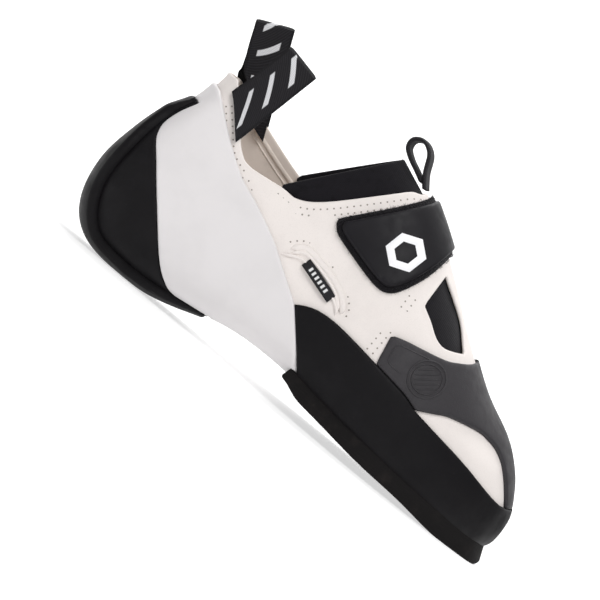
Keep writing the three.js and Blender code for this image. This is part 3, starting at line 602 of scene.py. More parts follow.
def add_piece(name, points, faces, makers, replaces=(), which=None, values=None, sharp=50):
    """Object from points in millimetres, with its materials, riding on the shoe"""
    mesh = bpy.data.meshes.new(name)
    mesh.from_pydata((np.asarray(points) * MM).tolist(), [], [list(map(int, f)) for f in faces])
    for maker in makers:
        mesh.materials.append(finish(maker))
    if which is not None:
        mesh.polygons.foreach_set("material_index", np.asarray(which, np.int32))
    mesh.polygons.foreach_set("use_smooth", np.ones(len(mesh.polygons), bool))
    for key, value in (values or {}).items():
        attribute = mesh.attributes.new(key, "FLOAT", "POINT")
        attribute.data.foreach_set("value", value.astype(np.float32))
    mesh.set_sharp_from_angle(angle=math.radians(sharp))
    mesh.update()
    piece = bpy.data.objects.new(name, mesh)
    bpy.context.scene.collection.objects.link(piece)
    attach(piece, "root")
    if replaces:
        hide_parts(*replaces)


def side_grid(side):
    """Net corners on one side, to start a search from"""
    lateral = NET["v"] <= 0.5
    chosen = lateral if side == LATERAL else ~lateral
    return NET["point"][chosen][:, [0, 2]], NET["u"][chosen], NET["v"][chosen]


def on_side(side, places, level=0.0):
    """Points and normals on the last, for places in the side view in millimetres"""
    places = np.atleast_2d(places)
    spots, us, vs = side_grid(side)
    nearest = np.array([((spots - p) ** 2).sum(1).argmin() for p in places])
    u, v = us[nearest].copy(), vs[nearest].copy()
    for _ in range(6):
        here = last_points(u, v)
        along_u = (last_points(u + NUDGE, v) - here) / NUDGE
        along_v = (last_points(u, v + NUDGE) - here) / NUDGE
        determinant = along_u[:, 0] * along_v[:, 2] - along_u[:, 2] * along_v[:, 0]
        determinant = np.where(np.abs(determinant) < 1e-6, 1e-6, determinant)
        dx, dz = places[:, 0] - here[:, 0], places[:, 1] - here[:, 2]
        u = u + np.clip((dx * along_v[:, 2] - dz * along_v[:, 0]) / determinant, -1, 1)
        v = v + np.clip((dz * along_u[:, 0] - dx * along_u[:, 2]) / determinant, -0.05, 0.05)
    normals = last_normals(u, v)
    return last_points(u, v) + normals * np.asarray(level)[..., None], normals


def even_path(points, spacing, closed=False):
    """Points at an even spacing along a line"""
    points = np.asarray(points)
    if closed:
        points = np.concatenate([points, points[:1]])
    reach = np.concatenate([[0], np.cumsum(np.linalg.norm(np.diff(points, axis=0), axis=1))])
    number = max(int(round(reach[-1] / spacing)), 2)
    wanted = np.linspace(0, reach[-1], number + 1)
    if closed:
        wanted = wanted[:-1]
    return np.stack([np.interp(wanted, reach, points[:, k]) for k in range(points.shape[1])], 1)


def beside(points, distance):
    """Line beside a line in the side view, to its left for a positive distance"""
    along = unit(np.gradient(points, axis=0))
    return points + np.stack([-along[:, 1], along[:, 0]], 1) * distance


def bead(points, normals, width, height, closed=False):
    """Half-round cord laid on a surface along a line of points"""
    if closed:
        along = unit(np.roll(points, -1, 0) - np.roll(points, 1, 0))
    else:
        along = unit(np.gradient(points, axis=0))
    across = unit(np.cross(normals, along))
    angles = np.linspace(0, np.pi, BEAD_STEPS)
    count = len(points)
    taper = np.ones(count)
    if not closed:
        ends = np.minimum(np.arange(count), np.arange(count)[::-1]) / 2
        taper = np.sqrt(np.clip(ends, 0.05, 1))
    rings = [points + across * (np.cos(t) * width / 2 * taper)[:, None]
             + normals * (np.sin(t) * height * taper)[:, None] for t in angles]
    for way in (-1, 1):
        rings.append(points + way * across * (width / 2 * taper)[:, None] - normals * BEAD_SINK)
    return tube_faces(np.stack(rings, 1), closed)


def tube_faces(grid, closed):
    """Quads of a tube from rings of points, with flat ends if it is open"""
    count, size = grid.shape[:2]
    faces = []
    for i in range(count if closed else count - 1):
        for j in range(size):
            a, b = i * size + j, i * size + (j + 1) % size
            c, d = (i + 1) % count * size + (j + 1) % size, (i + 1) % count * size + j
            faces.append((a, b, c, d))
    if not closed:
        faces.append(tuple(range(size))[::-1])
        faces.append(tuple((count - 1) * size + j for j in range(size)))
    return grid.reshape(-1, 3), faces


def joined(parts):
    """Several bodies as one list of points and faces"""
    points, faces, start = [], [], 0
    for some_points, some_faces in parts:
        points.append(some_points)
        faces += [tuple(int(k) + start for k in face) for face in some_faces]
        start += len(some_points)
    return np.concatenate(points), faces


def bead_on(side, places, level, width, height, closed=False, spacing=BEAD_SPACING):
    path = even_path(places, spacing, closed)
    points, normals = on_side(side, path, level)
    return bead(points, normals, width, height, closed)


# Materials


class Value:
    """A number that varies over a surface; its operators add Math nodes"""

    def __init__(self, finish, socket):
        self.finish = finish
        self.socket = socket

    def math(self, operation, *others, swap=False):
        terms = [self.socket] + [o.socket if isinstance(o, Value) else o for o in others]
        if swap:
            terms.reverse()
        node = self.finish.node("Math", {"operation": operation}, dict(enumerate(terms)))
        return Value(self.finish, node.outputs[0])

    def __add__(self, other):
        return self.math("ADD", other)

    __radd__ = __add__

    def __sub__(self, other):
        return self.math("SUBTRACT", other)

    def __rsub__(self, other):
        return self.math("SUBTRACT", other, swap=True)

    def __mul__(self, other):
        return self.math("MULTIPLY", other)

    __rmul__ = __mul__

    def sine(self):
        return self.math("SINE")

    def wave(self):
        """Sine between 0 and 1"""
        return self.sine() * 0.5 + 0.5

    def size(self):
        return self.math("ABSOLUTE")

    def share(self, low, high):
        """0 at low, 1 at high, smooth between them"""
        node = self.finish.node("MapRange", {"interpolation_type": "SMOOTHSTEP", "clamp": True}, {
            "Value": self.socket, "From Min": low, "From Max": high})
        return Value(self.finish, node.outputs[0])


class Finish:
    """One material and the nodes behind it"""

    def __init__(self, name, colour, roughness, **constants):
        self.material = bpy.data.materials.new(name)
        self.material.use_nodes = True
        self.tree = self.material.node_tree
        self.shader = next(n for n in self.tree.nodes if n.type == "BSDF_PRINCIPLED")
        self.shader.inputs["Base Color"].default_value = (*colour, 1.0)
        self.shader.inputs["Roughness"].default_value = roughness
        for key, value in constants.items():
            socket = key.replace("_", " ").title().replace("Ior", "IOR")
            self.shader.inputs[socket].default_value = value
        self.place = self.node("TexCoord").outputs["Object"]
        self.bumps = None

    def node(self, kind, settings=None, sockets=None):
        """Any node, from its type, its settings and the values or links of its sockets"""
        prefix = "ShaderNodeTex" if kind in ("Noise", "Voronoi") else "ShaderNode"
        node = self.tree.nodes.new(prefix + kind)
        for key, value in (settings or {}).items():
            setattr(node, key, value)
        for key, value in (sockets or {}).items():
            target = node.inputs[key]
            if isinstance(value, Value):
                value = value.socket
            if isinstance(value, bpy.types.NodeSocket):
                self.tree.links.new(value, target)
            else:
                target.default_value = value
        return node

    def noise(self, size, detail=3, roughness=0.5, stretch=None):
        """Noise whose grains are this many millimetres across"""
        place = self.place
        if stretch:
            scaled = self.node("VectorMath", {"operation": "MULTIPLY"}, {0: place, 1: stretch})
            place = scaled.outputs[0]
        node = self.node("Noise", None, {
            "Vector": place, "Scale": 1 / (size * MM), "Detail": detail, "Roughness": roughness})
        return Value(self, node.outputs["Fac"])

    def cells(self, size):
        """Distance to the middle of cells that are this many millimetres across"""
        node = self.node("Voronoi", {"feature": "F1"}, {
            "Vector": self.place, "Scale": 1 / (size * MM)})
        return Value(self, node.outputs["Distance"])

    def axis(self, index):
        """Place along one axis, in millimetres"""
        node = self.node("SeparateXYZ", None, {0: self.place})
        return Value(self, node.outputs[index]) * (1 / MM)

    def carried(self, name):
        """A value that the mesh carries at its corners"""
        node = self.node("Attribute", {"attribute_name": name})
        return Value(self, node.outputs["Fac"])

    def tint(self, colour, factor):
        """Colours the surface where the factor is 1"""
        base = self.shader.inputs["Base Color"]
        under = base.links[0].from_socket if base.is_linked else tuple(base.default_value)
        over = (*colour, 1.0)
        node = self.node("Mix", {"data_type": "RGBA"}, {0: factor, 6: under, 7: over})
        self.tree.links.new(node.outputs[2], base)

    def rough(self, value):
        self.tree.links.new(value.socket, self.shader.inputs["Roughness"])

    def relief(self, height, distance, strength=1.0):
        """Bump, in millimetres of height for a value from 0 to 1"""
        sockets = {"Height": height, "Distance": distance * MM, "Strength": strength}
        if self.bumps is not None:
            sockets["Normal"] = self.bumps
        self.bumps = self.node("Bump", None, sockets).outputs["Normal"]
        self.tree.links.new(self.bumps, self.shader.inputs["Normal"])


def colours():
    return bpy.context.scene.shoe_colours


def sizes():
    return bpy.context.scene.shoe_sizes


FINISHES = {}


def finish(maker):
    """Makes each material once"""
    if maker.__name__ not in FINISHES:
        FINISHES[maker.__name__] = maker()
    return FINISHES[maker.__name__]


def shade(colour, factor):
    return tuple(c * factor for c in colour[:3])


def suede_cloth():
    base = tuple(colours().upper)
    f = Finish("suede_cloth", base, 0.82, sheen_weight=0.12, sheen_roughness=0.6,
               specular_ior_level=0.3)
    patches = f.noise(28, 4, 0.6)
    f.tint(shade(base, 0.9), patches.share(0.42, 0.68) * 0.5)
    nap = f.noise(0.55, 3, 0.65)
    f.tint(shade(base, 0.84), nap.share(0.5, 0.75) * 0.45)
    f.tint((0.62, 0.5, 0.44), f.noise(9, 5, 0.7).share(0.6, 0.85) * 0.16)
    f.rough(0.72 + f.noise(3, 2) * 0.2)
    f.relief(nap, 0.06, 0.5)
    f.relief(f.noise(5, 3, 0.5), 0.25, 0.35)
    return f.material


def lining_cloth():
    base = tuple(colours().lining)
    f = Finish("lining_cloth", base, 0.9, sheen_weight=0.1, specular_ior_level=0.2)
    weave = (f.axis(0) * 9.0).sine() * (f.axis(2) * 9.0).sine()
    f.tint(shade(base, 0.85), f.noise(14, 4).share(0.45, 0.7) * 0.6)
    f.relief(weave * 0.5 + 0.5, 0.08, 0.4)
    f.relief(f.noise(4, 3), 0.2, 0.4)
    return f.material


def insole_board():
    base = tuple(colours().lining)
    f = Finish("insole_board", shade(base, 0.8), 0.88, specular_ior_level=0.2)
    f.tint(shade(base, 0.55), f.noise(20, 4).share(0.5, 0.75) * 0.5)
    f.relief(f.noise(0.8, 3), 0.1, 0.5)
    return f.material


def stretch_knit():
    base = tuple(colours().knit)
    f = Finish("stretch_knit", base, 0.88, sheen_weight=0.08, sheen_roughness=0.5,
               specular_ior_level=0.14)
    ribs = (f.axis(0) * 5.2 + f.axis(2) * 2.4).sine() * (f.axis(2) * 5.2 - f.axis(0) * 2.4).sine()
    f.tint(shade(base, 2.6), (ribs * 0.5 + 0.5).share(0.55, 0.95) * 0.35)
    f.tint(shade(base, 0.4), f.noise(3, 3).share(0.5, 0.75) * 0.5)
    f.relief(ribs * 0.5 + 0.5, 0.14, 0.6)
    f.relief(f.noise(7, 3), 0.5, 0.4)
    return f.material


def wrap_rubber():
    base = tuple(colours().rubber)
    f = Finish("wrap_rubber", base, 0.5, specular_ior_level=0.13)
    f.tint(shade(base, 1.7), f.noise(16, 5, 0.6).share(0.48, 0.75) * 0.45)
    specks = f.noise(0.9, 2, 0.7)
    f.tint((0.05, 0.046, 0.045), specks.share(0.66, 0.8) * 0.25)
    f.rough(0.46 + f.noise(11, 4, 0.6).share(0.35, 0.7) * 0.16 + specks * 0.06)
    f.relief(f.noise(0.5, 2), 0.03, 0.35)
    f.relief(f.noise(18, 3), 0.5, 0.25)
    return f.material


def ground_rubber():
    base = tuple(colours().sole)
    f = Finish("ground_rubber", base, 0.8, specular_ior_level=0.12)
    streaks = f.noise(1.1, 3, 0.6, stretch=(0.12, 0.12, 1.6))
    f.tint(shade(base, 1.6), streaks.share(0.5, 0.72) * 0.6)
    f.tint((0.03, 0.024, 0.022), f.noise(9, 4, 0.6).share(0.5, 0.8) * 0.35)
    f.rough(0.7 + streaks * 0.2)
    f.relief(streaks, 0.09, 0.5)
    f.relief(f.noise(0.7, 2), 0.05, 0.4)
    return f.material


def patch_rubber():
    base = tuple(colours().patch)
    f = Finish("patch_rubber", base, 0.6, specular_ior_level=0.28)
    f.tint(shade(base, 0.72), f.noise(22, 4).share(0.45, 0.72) * 0.5)
    pebble = f.cells(0.85)
    f.tint(shade(base, 1.35), pebble.share(0.55, 0.2) * 0.25)
    f.rough(0.54 + f.noise(6, 3).share(0.35, 0.7) * 0.14)
    f.relief(pebble, 0.06, 0.45)
    return f.material


def band_rubber():
    base = tuple(colours().band)
    f = Finish("band_rubber", base, 0.48, specular_ior_level=0.4)
    f.tint(shade(base, 0.93), f.noise(30, 4, 0.6).share(0.4, 0.7) * 0.6)
    f.tint((0.66, 0.62, 0.6), f.noise(2.2, 4, 0.75).share(0.66, 0.85) * 0.12)
    f.rough(0.42 + f.noise(12, 3).share(0.35, 0.7) * 0.14)
    f.relief(f.noise(0.6, 2), 0.025, 0.3)
    f.relief(f.noise(20, 3), 0.5, 0.2)
    return f.material


def brushed_pile():
    base = tuple(colours().pile)
    f = Finish("brushed_pile", base, 0.95, sheen_weight=0.12, sheen_roughness=0.5,
               specular_ior_level=0.1)
    loops = f.cells(0.8)
    f.tint(shade(base, 2.2), loops.share(0.6, 0.2) * 0.45)
    f.relief(loops, -0.45, 0.9)
    f.relief(f.noise(0.5, 3, 0.7), 0.2, 0.8)
    return f.material


def strap_film():
    base = tuple(colours().film)
    f = Finish("strap_film", base, 0.48, specular_ior_level=0.16)
    f.tint(shade(base, 1.5), f.noise(18, 4).share(0.45, 0.72) * 0.4)
    grain = f.noise(0.45, 2, 0.6)
    f.rough(0.44 + f.noise(5, 3).share(0.3, 0.7) * 0.12)
    f.relief(grain, 0.035, 0.45)
    return f.material


def twill_ridges(across, along):
    """Slanting ridges of the webbing's weave, from 0 to 1"""
    return (along * 4.2 + across * 4.2).wave().share(0.2, 0.8)


def webbing_cloth():
    base = tuple(colours().webbing)
    f = Finish("webbing_cloth", base, 0.8, sheen_weight=0.05, specular_ior_level=0.14)
    across, along = f.carried("across"), f.carried("along")
    twill = twill_ridges(across, along)
    picks = (along * 9.0).wave()
    f.tint(shade(base, 2.3), twill * 0.4)
    edge = (across.size() - 8.2).share(0, 0.5)
    f.tint(shade(base, 0.6), edge * 0.6)
    dash = slanted_dash(across, along)
    f.tint((0.72, 0.72, 0.74), dash * (0.75 + picks * 0.25))
    f.relief(twill * 0.7 + picks * 0.3, 0.18, 0.7)
    return f.material


def slanted_dash(across, along):
    """Plain light dashes that lean across the webbing"""
    leaning = along + across * 0.9
    repeat = leaning.math("WRAP", 14.0, 0.0)
    return (1 - (repeat - 7).size().share(1.4, 1.9)) * (1 - across.size().share(4.6, 5.2))


def plain_webbing():
    base = tuple(colours().webbing)
    f = Finish("plain_webbing", base, 0.8, sheen_weight=0.08, specular_ior_level=0.18)
    across, along = f.carried("across"), f.carried("along")
    twill = twill_ridges(across, along)
    f.tint(shade(base, 2.3), twill * 0.35)
    f.relief(twill, 0.16, 0.6)
    return f.material


def tag_cloth():
    base = tuple(colours().webbing)
    f = Finish("tag_cloth", base, 0.75, specular_ior_level=0.3)
    across, along = f.carried("across"), f.carried("along")
    bar = 1 - (along.math("WRAP", 2.4, 0.0) - 1.2).size().share(0.5, 0.7)
    inside = (1 - across.size().share(1.0, 1.25)) * (1 - along.size().share(7.0, 7.3))
    f.tint((0.7, 0.7, 0.7), bar * inside)
    f.relief((along * 8.0).wave(), 0.05, 0.5)
    return f.material


def pinhole_dark():
    # Needle holes drawn as flat discs: the lining's own colour, darkened to 0.38 and mottled darker
    # as painted shade inside the holes
    base = shade(tuple(colours().lining), 0.38)
    f = Finish("pinhole_dark", base, 0.9, specular_ior_level=0.1)
    f.tint(shade(base, 0.6), f.noise(0.5, 2).share(0.4, 0.7) * 0.6)
    return f.material


def printed_mark():
    f = Finish("printed_mark", tuple(colours().mark), 0.5, specular_ior_level=0.4)
    f.tint(shade(tuple(colours().mark), 0.85), f.noise(1.2, 3, 0.7).share(0.55, 0.8) * 0.4)
    f.relief(f.noise(0.5, 2), 0.03, 0.3)
    return f.material


# The shapes of the pieces


def fold_lift():
    """How far the cloth is pressed in or raised at each corner of the net"""
    points = NET["point"]
    lateral = NET["v"] <= 0.5
    total = np.zeros(len(points))
    for row in zip(*FOLDS.values()):
        side, x1, z1, x2, z2, width, depth = row
        a, b = place(x1, z1), place(x2, z2)
        edge = b - a
        flat = points[:, [0, 2]] - a
        t = np.clip((flat @ edge) / (edge @ edge), 0, 1)
        away = np.linalg.norm(flat - t[:, None] * edge, axis=1)
        chosen = lateral if side == LATERAL else ~lateral
        total += np.where(chosen, depth * np.exp(-(away / (width * 0.5)) ** 2), 0)
    covered = np.minimum.reduce([RAND_EDGE, BAND_EDGE, PATCH_EDGE, STRAP_EDGE, -COLLAR_EDGE,
                                 WINDOW_EDGE])
    return total * ease(0.5, 5, covered)


def make_upper():
    edge = np.maximum.reduce([COLLAR_EDGE, -WINDOW_EDGE, -sole_opening(NET)])
    sheet = cut(edge, 1.6, fold=fold_lift())
    hem = np.exp(-(sheet["edge"] + HEM_INSET) ** 2) * HEM_DEPTH
    near_floor = sheet["normal"][:, 2] < UNDERSIDE
    high = sheet["fold"] - np.where(near_floor, 0, hem)
    low = -UPPER_WALL + sheet["fold"]
    points, faces, kind = layer(sheet, low, high, 1.2, 0.25, both=True)
    add_piece("upper_cloth", points, faces, [suede_cloth, lining_cloth], ["upper"],
              (kind == 1).astype(int))


def make_lining_seams():
    """Folded seam inside the collar, and a thinner one below it"""
    collar = outline_points(rows_of(COLLAR_INNER, 2, 7), closed=False)
    parts = []
    for inset, width, height in ((5, 2.2, 0.7), (8, 1.0, 0.35)):
        path = even_path(beside(collar, -inset), BEAD_SPACING)
        points, normals = on_side(MEDIAL, path, -UPPER_WALL)
        parts.append(bead(points, -normals, width, height))
    points, faces = joined(parts)
    add_piece("lining_seam", points, faces, [lining_cloth])


def rows_of(rows, first, last):
    """Some rows of an outline"""
    return {name: values[first:last + 1] for name, values in rows.items()}


def make_insole():
    sheet = cut(sole_opening(NET) + GAP, 1.2)
    points, faces, _ = layer(sheet, -UPPER_WALL, -CLOSE, 1.0, 0.5)
    add_piece("insole_sheet", points, faces, [insole_board], ["insole"])


def make_tongue():
    edge = side_field(NET, TONGUE_OUTER, TONGUE_INNER)
    sheet = cut(edge, 2.0)
    ripple = TONGUE_RIPPLE * np.sin(sheet["point"][:, 0] * 0.35 + sheet["point"][:, 2] * 0.12)
    free = ease(0, 4, -sheet["edge"])
    points, faces, _ = layer(sheet, TONGUE_OUT - TONGUE_WALL + ripple * free * 0.5,
                             TONGUE_OUT + (ripple - TONGUE_RIPPLE) * free * 0.5, 1.6, 0.2, both=True)
    add_piece("tongue_knit", points, faces, [stretch_knit], ["tongue"])


def add_rubber(name, edge, top, radius, least, maker, node):
    """Sheet of rubber that lies on the upper, with a rounded edge"""
    points, faces, _ = layer(cut(edge, radius), CLOSE, top, radius, least)
    add_piece(name, points, faces, [maker], [node])


def make_rand():
    add_rubber("toe_rand", RAND_EDGE, RUBBER_TOP, 1.5, 0.3, wrap_rubber, "rand")


def make_heel_band():
    edge = np.maximum(BAND_EDGE, RUBBER_JOINT - RAND_EDGE)
    add_rubber("heel_band_rubber", edge, RUBBER_TOP, 1.4, 0.35, band_rubber,
               "heel_band")


def make_heel_cup():
    edge = np.maximum(side_field(NET, HEEL_CUP), RUBBER_JOINT - BAND_EDGE)
    add_rubber("heel_cup_rubber", edge, RUBBER_TOP, 1.2, 0.4, wrap_rubber,
               "heel_cup")


def make_toe_patch():
    edge = np.maximum(PATCH_EDGE, RUBBER_JOINT - RAND_EDGE)
    add_rubber("toe_patch_rubber", edge, PATCH_TOP, 1.3, 0.35, patch_rubber,
               "toe_patch")


def make_heel_strip():
    sheet = cut(side_field(NET, STRIP), 3.0)
    taper = ease(*(place(x, 0)[0] for x in STRIP_UNDER), sheet["point"][:, 0])
    top = ease(*(place(0, z)[1] for z in STRIP_TOP), sheet["point"][:, 2])
    under = np.clip(-unit(sheet["normal"])[:, 2], 0, 1)
    height = mix(1, mix(1, 0.2, taper), under) * mix(1, 0.3, top)
    points, faces, _ = layer(sheet, CLOSE + RUBBER_TOP, OVER_RUBBER + HEEL_STRIP * height, 2.4, 0.25)
    points[:, 2] = np.maximum(points[:, 2], 0)
    add_piece("heel_strip_rubber", points, faces, [wrap_rubber],
              ["heel_strip"])


def make_outsole():
    sheet = cut(side_field(NET, SOLE), 1.2)
    frame_there = section_frame(sheet["u"])
    up = unit(frame_there["top"] - frame_there["bottom"])
    face = sheet["point"] + unit(sheet["normal"]) * (CLOSE + RUBBER_TOP)
    outer = sheet["point"] + unit(sheet["normal"]) * OVER_RUBBER
    height = ((outer[:, [0, 2]] - frame_there["bottom"]) * up).sum(1)
    rear = place(SOLE["x"][0], 0)[0]
    taper = mix(0.4, 1, ease(rear, rear + 3 * OUTSOLE, sheet["point"][:, 0]))
    drop = -OVER_RUBBER - OUTSOLE * taper - height
    tip = TIP_REACH * ease(*(place(x, 0)[0] for x in TIP_STRETCH), sheet["point"][:, 0])
    lower = outer + np.stack([up[:, 0] * drop + tip, 0 * drop, up[:, 1] * drop - tip], 1)
    rim = np.unique(sheet.rim())
    away = np.full(len(lower), np.inf)
    for start in range(0, len(rim), 200):
        gap = lower[:, None, :2] - lower[rim[start:start + 200]][None, :, :2]
        away = np.minimum(away, np.sqrt((gap ** 2).sum(2).min(1)))
    depth = np.clip(away / OUTSOLE_ROUND, 0, 1)
    lower[:, 2] += OUTSOLE_ROUND * (1 - np.sqrt(1 - (1 - depth) ** 2))
    lower[:, 2] = np.maximum(lower[:, 2], 0)
    points, faces, _ = close_up(sheet, lower, face)
    faces = faces[:, ::-1]
    add_piece("outsole_rubber", points, faces, [ground_rubber],
              ["outsole"], sharp=40)


def make_patch_relief():
    """Raised disc with slanted ribs, and the moulded line of a shallow field beside it"""
    centre = place(*DISC_PLACE)
    turns = np.linspace(0, 2 * np.pi, 64, endpoint=False)
    circle = np.stack([np.cos(turns), np.sin(turns)], 1)
    parts = []
    for radius, width in ((8.6, 1.0), (6.9, 0.6)):
        parts.append(bead_on(LATERAL, centre + circle * radius, PATCH_TOP, width, 0.45, True, 0.8))
    lean = math.radians(38)
    along = np.array([math.cos(lean), math.sin(lean)])
    across = np.array([-along[1], along[0]])
    for shift in (-4.5, -2.25, 0, 2.25, 4.5):
        half = math.sqrt(6.4 ** 2 - shift ** 2)
        ends = np.array([centre + across * shift - along * half,
                         centre + across * shift + along * half])
        parts.append(bead_on(LATERAL, ends, PATCH_TOP, 0.6, 0.35, False, 0.8))
    field = outline_points(PATCH_FIELD, closed=False)
    parts.append(bead_on(LATERAL, field, PATCH_TOP, 0.7, 0.3, False, 0.8))
    points, faces = joined(parts)
    add_piece("toe_patch_relief", points, faces, [patch_rubber])


def make_strap():
    pad_sheet = cut(STRAP_EDGE, 2.2)
    puff = PAD_PUFF * ease(0, 3, -pad_sheet["edge"])
    points, faces, _ = layer(pad_sheet, CLOSE, PAD_TOP - PAD_PUFF + puff, 2.0, 0.35)
    add_piece("strap_pad_pile", points, faces, [brushed_pile],
              ["strap_pad"], sharp=70)
    sheet = cut(STRAP_EDGE + STRAP_INSET, 1.4)
    points, faces, _ = layer(sheet, PAD_TOP - STRAP_SEAT, STRAP_TOP, 1.3, 0.35)
    add_piece("strap_band", points, faces, [strap_film], ["strap"])


def make_strap_fuzz():
    """Loose fibres along the edge of the pile"""
    random = np.random.default_rng(7)
    sheet = cut(STRAP_EDGE, 2.2)
    near = np.flatnonzero(sheet["edge"] > -FIBRE_STRETCH)
    chosen = random.choice(near, FIBRES)
    points = sheet["point"][chosen] + unit(sheet["normal"][chosen]) * PAD_TOP * 0.7
    normals = unit(sheet["normal"][chosen])
    way = unit(random.normal(size=(len(points), 3)) * 0.9 + normals * 0.7)
    length = random.uniform(0.7, 1.9, len(points))[:, None]
    curl = unit(np.cross(way, random.normal(size=way.shape)))
    side = unit(np.cross(way, curl)) * 0.06
    tips = points + way * length + curl * length * 0.35
    bend = points + way * length * 0.55
    grid = np.stack([points + side, points - side, bend + side * 0.8, bend - side * 0.8, tips], 1)
    faces = []
    for i in range(len(points)):
        s = i * 5
        faces += [(s, s + 1, s + 3, s + 2), (s + 2, s + 3, s + 4)]
    add_piece("strap_fibres", grid.reshape(-1, 3), faces, [brushed_pile])


def make_mark():
    """Plain six-sided ring printed on the strap"""
    centre = place(*MARK_PLACE)
    outer, inner = sizes().mark_width / 2, sizes().mark_width / 2 * 0.56
    corners = np.radians(np.arange(6) * 60 + 20)
    grids = []
    for radius in (outer, outer - 0.25, inner + 0.25, inner):
        ring = np.stack([np.cos(corners), np.sin(corners)], 1) * radius + centre
        steps = np.arange(60) / 10
        low = np.floor(steps).astype(int)
        path = mix(ring[low], ring[(low + 1) % 6], (steps - low)[:, None])
        grids.append(path)
    heights = (0.0, 0.16, 0.16, 0.0)
    level = STRAP_TOP - 0.02
    rings = [on_side(LATERAL, path, level + h)[0] for path, h in zip(grids, heights)]
    points, faces = tube_faces(np.stack(rings, 1), True)
    add_piece("strap_mark", points, faces, [printed_mark])


def make_side_seam():
    """Folded seam that curves down the outer side: a wide turned edge and a thin welt"""
    wide = outline_points(SIDE_SEAM, closed=False)
    slim = outline_points(SEAM_BEADS, closed=False)
    parts = [
        bead_on(LATERAL, wide, CLOSE, 3.2, 0.95),
        bead_on(LATERAL, beside(wide, -2.3), CLOSE, 2.0, 0.75),
        bead_on(LATERAL, slim, CLOSE, 1.6, 0.8),
    ]
    points, faces = joined(parts)
    add_piece("side_seam_fold", points, faces, [suede_cloth],
              ["side_seam"])


def make_side_tag():
    centre = place(*TAG_PLACE)
    tilt = math.radians(TAG_TILT)
    along = np.array([math.cos(tilt), math.sin(tilt)])
    across = np.array([-along[1], along[0]])
    rows, columns = 29, 9
    a = np.linspace(-TAG_LENGTH / 2, TAG_LENGTH / 2, rows)
    c = np.linspace(-TAG_HEIGHT / 2, TAG_HEIGHT / 2, columns)
    flat = np.array([centre + along * p + across * q for p in a for q in c])
    bulge = np.array([(1 - (2 * p / TAG_LENGTH) ** 8) * (1 - 0.5 * (2 * q / TAG_HEIGHT) ** 4)
                      for p in a for q in c])
    base, normals = on_side(LATERAL, flat, 0.3)
    top = base + normals * (0.35 + 1.1 * bulge)[:, None]
    points, faces = slab(top.reshape(rows, columns, 3), base.reshape(rows, columns, 3))
    values = {
        "along": np.tile(np.repeat(a, columns), 2),
        "across": np.tile(np.tile(c, rows), 2),
    }
    add_piece("side_tag_cloth", points, faces, [tag_cloth], ["side_tag"],
              values=values)


def slab(top, bottom):
    """Closed solid between two equal grids of points"""
    rows, columns = top.shape[:2]
    index = np.arange(rows * columns).reshape(rows, columns)
    a, b = index[:-1, :-1], index[1:, :-1]
    c, d = index[1:, 1:], index[:-1, 1:]
    upper = np.stack([a, d, c, b], -1).reshape(-1, 4)
    count = rows * columns
    faces = [tuple(f) for f in upper] + [tuple(f[::-1] + count) for f in upper]
    border = np.concatenate([index[:, 0], index[-1, 1:], index[-2::-1, -1], index[0, -2:0:-1]])
    for start, end in zip(border, np.roll(border, -1)):
        faces.append((start, end, end + count, start + count))
    return np.concatenate([top.reshape(-1, 3), bottom.reshape(-1, 3)]), faces


def pinhole_rows():
    """Rows of needle holes, each as its side and its line in the side view"""
    rising = outline_points(rows_of(COLLAR_OUTER, 7, 12), closed=False)
    falling = outline_points(rows_of(COLLAR_OUTER, 3, 6), closed=False)
    seam = outline_points(SIDE_SEAM, closed=False)
    inner = outline_points(rows_of(COLLAR_INNER, 6, 11), closed=False)
    front = place([58.6, 58.9, 58.8], [73, 60, 42])
    flank = place([20.6, 24.5, 29.6], [66.2, 68.4, 70.2])
    rows = (
        (LATERAL, rising, (-3.5, -6.5)),
        (LATERAL, falling, (-3.5, -6.2)),
        (LATERAL, seam, (3.0,)),
        (LATERAL, front, (0, 3.4)),
        (LATERAL, flank, (0, -3.0)),
        (MEDIAL, inner, (-3.5, -6.5)),
    )
    return [(side, beside(line, away)) for side, line, distances in rows for away in distances]


def make_pinholes():
    # Each needle hole is a flat disc with painted shade over the lining's colour, not a cut hole
    dots = []
    turns = np.linspace(0, 2 * np.pi, 10, endpoint=False)
    for side, line in pinhole_rows():
        points, normals = on_side(side, even_path(line, sizes().hole_spacing), 0.0)
        along = unit(np.cross(normals, [0.0, 0.0, 1.0]))
        across = np.cross(normals, along)
        for p, n, a, c in zip(points, normals, along, across):
            ring = [a * math.cos(t) + c * math.sin(t) for t in turns]
            radius = sizes().hole_width / 2
            disc = [p + n * 0.06] + [p + n * 0.05 + r * radius for r in ring]
            fan = [(0, 1 + k, 1 + (k + 1) % len(ring)) for k in range(len(ring))]
            dots.append((np.array(disc), fan))
    points, faces = joined(dots)
    add_piece("pinholes", points, faces, [pinhole_dark])


def strip_solid(middle, thickness, width, facing):
    """Webbing of even thickness about a grid of points, with rounded edges"""
    down = np.gradient(middle, axis=0)
    right = np.gradient(middle, axis=1)
    normal = unit(np.cross(down, right)) * facing
    columns = middle.shape[1]
    share = np.linspace(-1, 1, columns)
    crown = np.sqrt(np.clip(1 - np.abs(share) ** 10, 0.06, 1))[None, :, None]
    half = normal * thickness / 2 * crown
    points, faces = slab(middle + half, middle - half)
    reach = np.concatenate([[0], np.cumsum(np.linalg.norm(np.diff(middle[:, columns // 2], axis=0),
                                                          axis=1))])
    along = np.repeat(reach, columns)
    across = np.tile(share * width / 2, middle.shape[0])
    return points, faces, {"along": np.tile(along, 2), "across": np.tile(across, 2)}


def smooth_rows(grid, steps):
    """More rows between the rows of a grid, on smooth curves"""
    count = len(grid)
    result = []
    for i in range(count - 1):
        before, after = grid[max(i - 1, 0)], grid[min(i + 2, count - 1)]
        for k in range(steps):
            result.append(spline(before, grid[i], grid[i + 1], after, k / steps))
    result.append(grid[-1])
    return np.array(result)


